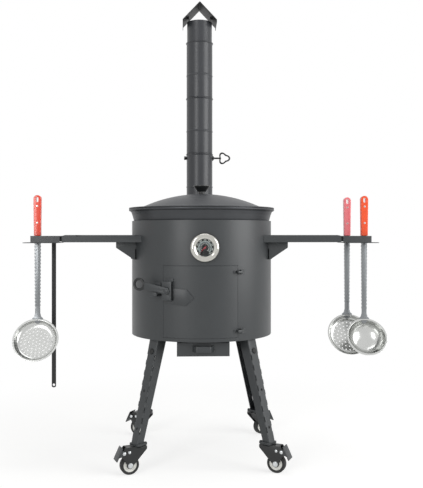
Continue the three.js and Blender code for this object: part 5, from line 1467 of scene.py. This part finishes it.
class STOVE_OT_stage(bpy.types.Operator):
    """Floor, background, lights and camera"""

    bl_idname = "stove.stage"
    bl_label = "Stage"

    def execute(self, context):
        settings = context.scene.stove_stage
        self.floor()
        self.world(context.scene)
        for name, (place, aim, width, height, share) in LIGHTS.items():
            self.light(name, place, aim, width, height, settings.key * share)
        deselect()
        bpy.ops.object.camera_add(
            location=(DRUM_AXIS.x - CAMERA_LEFT, DRUM_AXIS.y - settings.distance, settings.height),
            rotation=(math.pi / 2, 0, CAMERA_TURN),
        )
        camera = context.object
        camera.data.sensor_width = SENSOR
        camera.data.lens = SENSOR * FOCAL_LENGTH / FRAME_HEIGHT
        camera.data.shift_y = -HORIZON_ABOVE / FRAME_HEIGHT
        context.scene.camera = camera
        context.scene.view_settings.view_transform = "Standard"
        return {"FINISHED"}

    def floor(self):
        deselect()
        bpy.ops.mesh.primitive_plane_add(size=30)
        floor = bpy.context.object
        floor.name = "floor"
        made, tree, shader = material(
            "studio_floor", Base_Color=linear("#f6f6f2"), Roughness=0.8, Specular_IOR_Level=0.2
        )
        # What the camera and mirrors see: almost white, with the shadows kept near the object.
        glow = node(tree, "ShaderNodeEmission", Color=(1, 1, 1, 1), Strength=0.72)
        shaded = node(tree, "ShaderNodeBsdfDiffuse", Color=(0.42, 0.42, 0.41, 1))
        near = node(tree, "ShaderNodeAddShader", {0: (glow, 0), 1: (shaded, 0)})
        white = node(tree, "ShaderNodeEmission", Color=(1, 1, 1, 1))
        place = node(tree, "ShaderNodeTexCoord")
        distance = node(tree, "ShaderNodeVectorMath", {0: (place, "Object")}, operation="LENGTH")
        fade = node(
            tree, "ShaderNodeMapRange", {"Value": (distance, "Value")}, interpolation_type="SMOOTHSTEP",
            From_Min=0.5, From_Max=1.2,
        )
        faded = node(tree, "ShaderNodeMixShader", {0: (fade, 0), 1: (near, 0), 2: (white, 0)})
        mix = node(tree, "ShaderNodeMixShader", {0: (self.seen(tree), 0), 1: (shader, 0), 2: (faded, 0)})
        tree.links.new(mix.outputs[0], tree.nodes["Material Output"].inputs["Surface"])
        floor.data.materials.append(made)

    def seen(self, tree):
        """One for rays from the camera, off a mirror or through glass, and zero for the rest."""
        path = node(tree, "ShaderNodeLightPath")
        indirect = {0: (path, "Is Glossy Ray"), 1: (path, "Is Transmission Ray")}
        both = {0: (path, "Is Camera Ray"), 1: (node(tree, "ShaderNodeMath", indirect, operation="ADD"), 0)}
        return node(tree, "ShaderNodeMath", both, operation="ADD", use_clamp=True)

    def world(self, scene):
        scene.world = bpy.data.worlds.new("studio")
        scene.world.use_nodes = True
        tree = scene.world.node_tree
        soft = node(tree, "ShaderNodeBackground", Color=(1, 1, 1, 1), Strength=0.28)
        white = node(tree, "ShaderNodeBackground", Color=(1, 1, 1, 1), Strength=1)
        mix = node(tree, "ShaderNodeMixShader", {0: (self.seen(tree), 0), 1: (soft, 0), 2: (white, 0)})
        tree.links.new(mix.outputs[0], tree.nodes["World Output"].inputs["Surface"])

    def light(self, name, place, aim, width, height, watts):
        deselect()
        facing = (Vector(aim) - Vector(place)).to_track_quat("-Z", "Y").to_euler()
        bpy.ops.object.light_add(type="AREA", location=place, rotation=facing)
        lamp = bpy.context.object
        lamp.name = name
        lamp.data.shape = "RECTANGLE"
        lamp.data.size = width
        lamp.data.size_y = height
        lamp.data.energy = watts


OPERATORS = (
    STOVE_OT_finishes,
    STOVE_OT_drum,
    STOVE_OT_door,
    STOVE_OT_gauge,
    STOVE_OT_cauldron,
    STOVE_OT_chimney,
    STOVE_OT_drawer,
    STOVE_OT_legs,
    STOVE_OT_casters,
    STOVE_OT_shelves,
    STOVE_OT_utensils,
    STOVE_OT_stage,
)
GROUPS = {"stove_sizes": StoveSizes, "stove_colours": StoveColours, "stove_stage": StoveStage}


class STOVE_PT_panel(bpy.types.Panel):
    """The stove's values and its building steps"""

    bl_idname = "STOVE_PT_panel"
    bl_label = "Cauldron stove"
    bl_space_type = "VIEW_3D"
    bl_region_type = "UI"
    bl_category = "Stove"

    def draw(self, context):
        for name, group in GROUPS.items():
            box = self.layout.box()
            for value in group.__annotations__:
                box.prop(getattr(context.scene, name), value)
        for operator in OPERATORS:
            self.layout.operator(operator.bl_idname)


def register():
    for name, group in GROUPS.items():
        bpy.utils.register_class(group)
        setattr(bpy.types.Scene, name, PointerProperty(type=group))
    for operator in OPERATORS:
        bpy.utils.register_class(operator)
    bpy.utils.register_class(STOVE_PT_panel)


def unregister():
    bpy.utils.unregister_class(STOVE_PT_panel)
    for operator in reversed(OPERATORS):
        bpy.utils.unregister_class(operator)
    for name, group in GROUPS.items():
        delattr(bpy.types.Scene, name)
        bpy.utils.unregister_class(group)


def main():
    register()
    for operator in OPERATORS:
        group, name = operator.bl_idname.split(".")
        getattr(getattr(bpy.ops, group), name)()
    deselect()


if __name__ == "__main__":
    main()
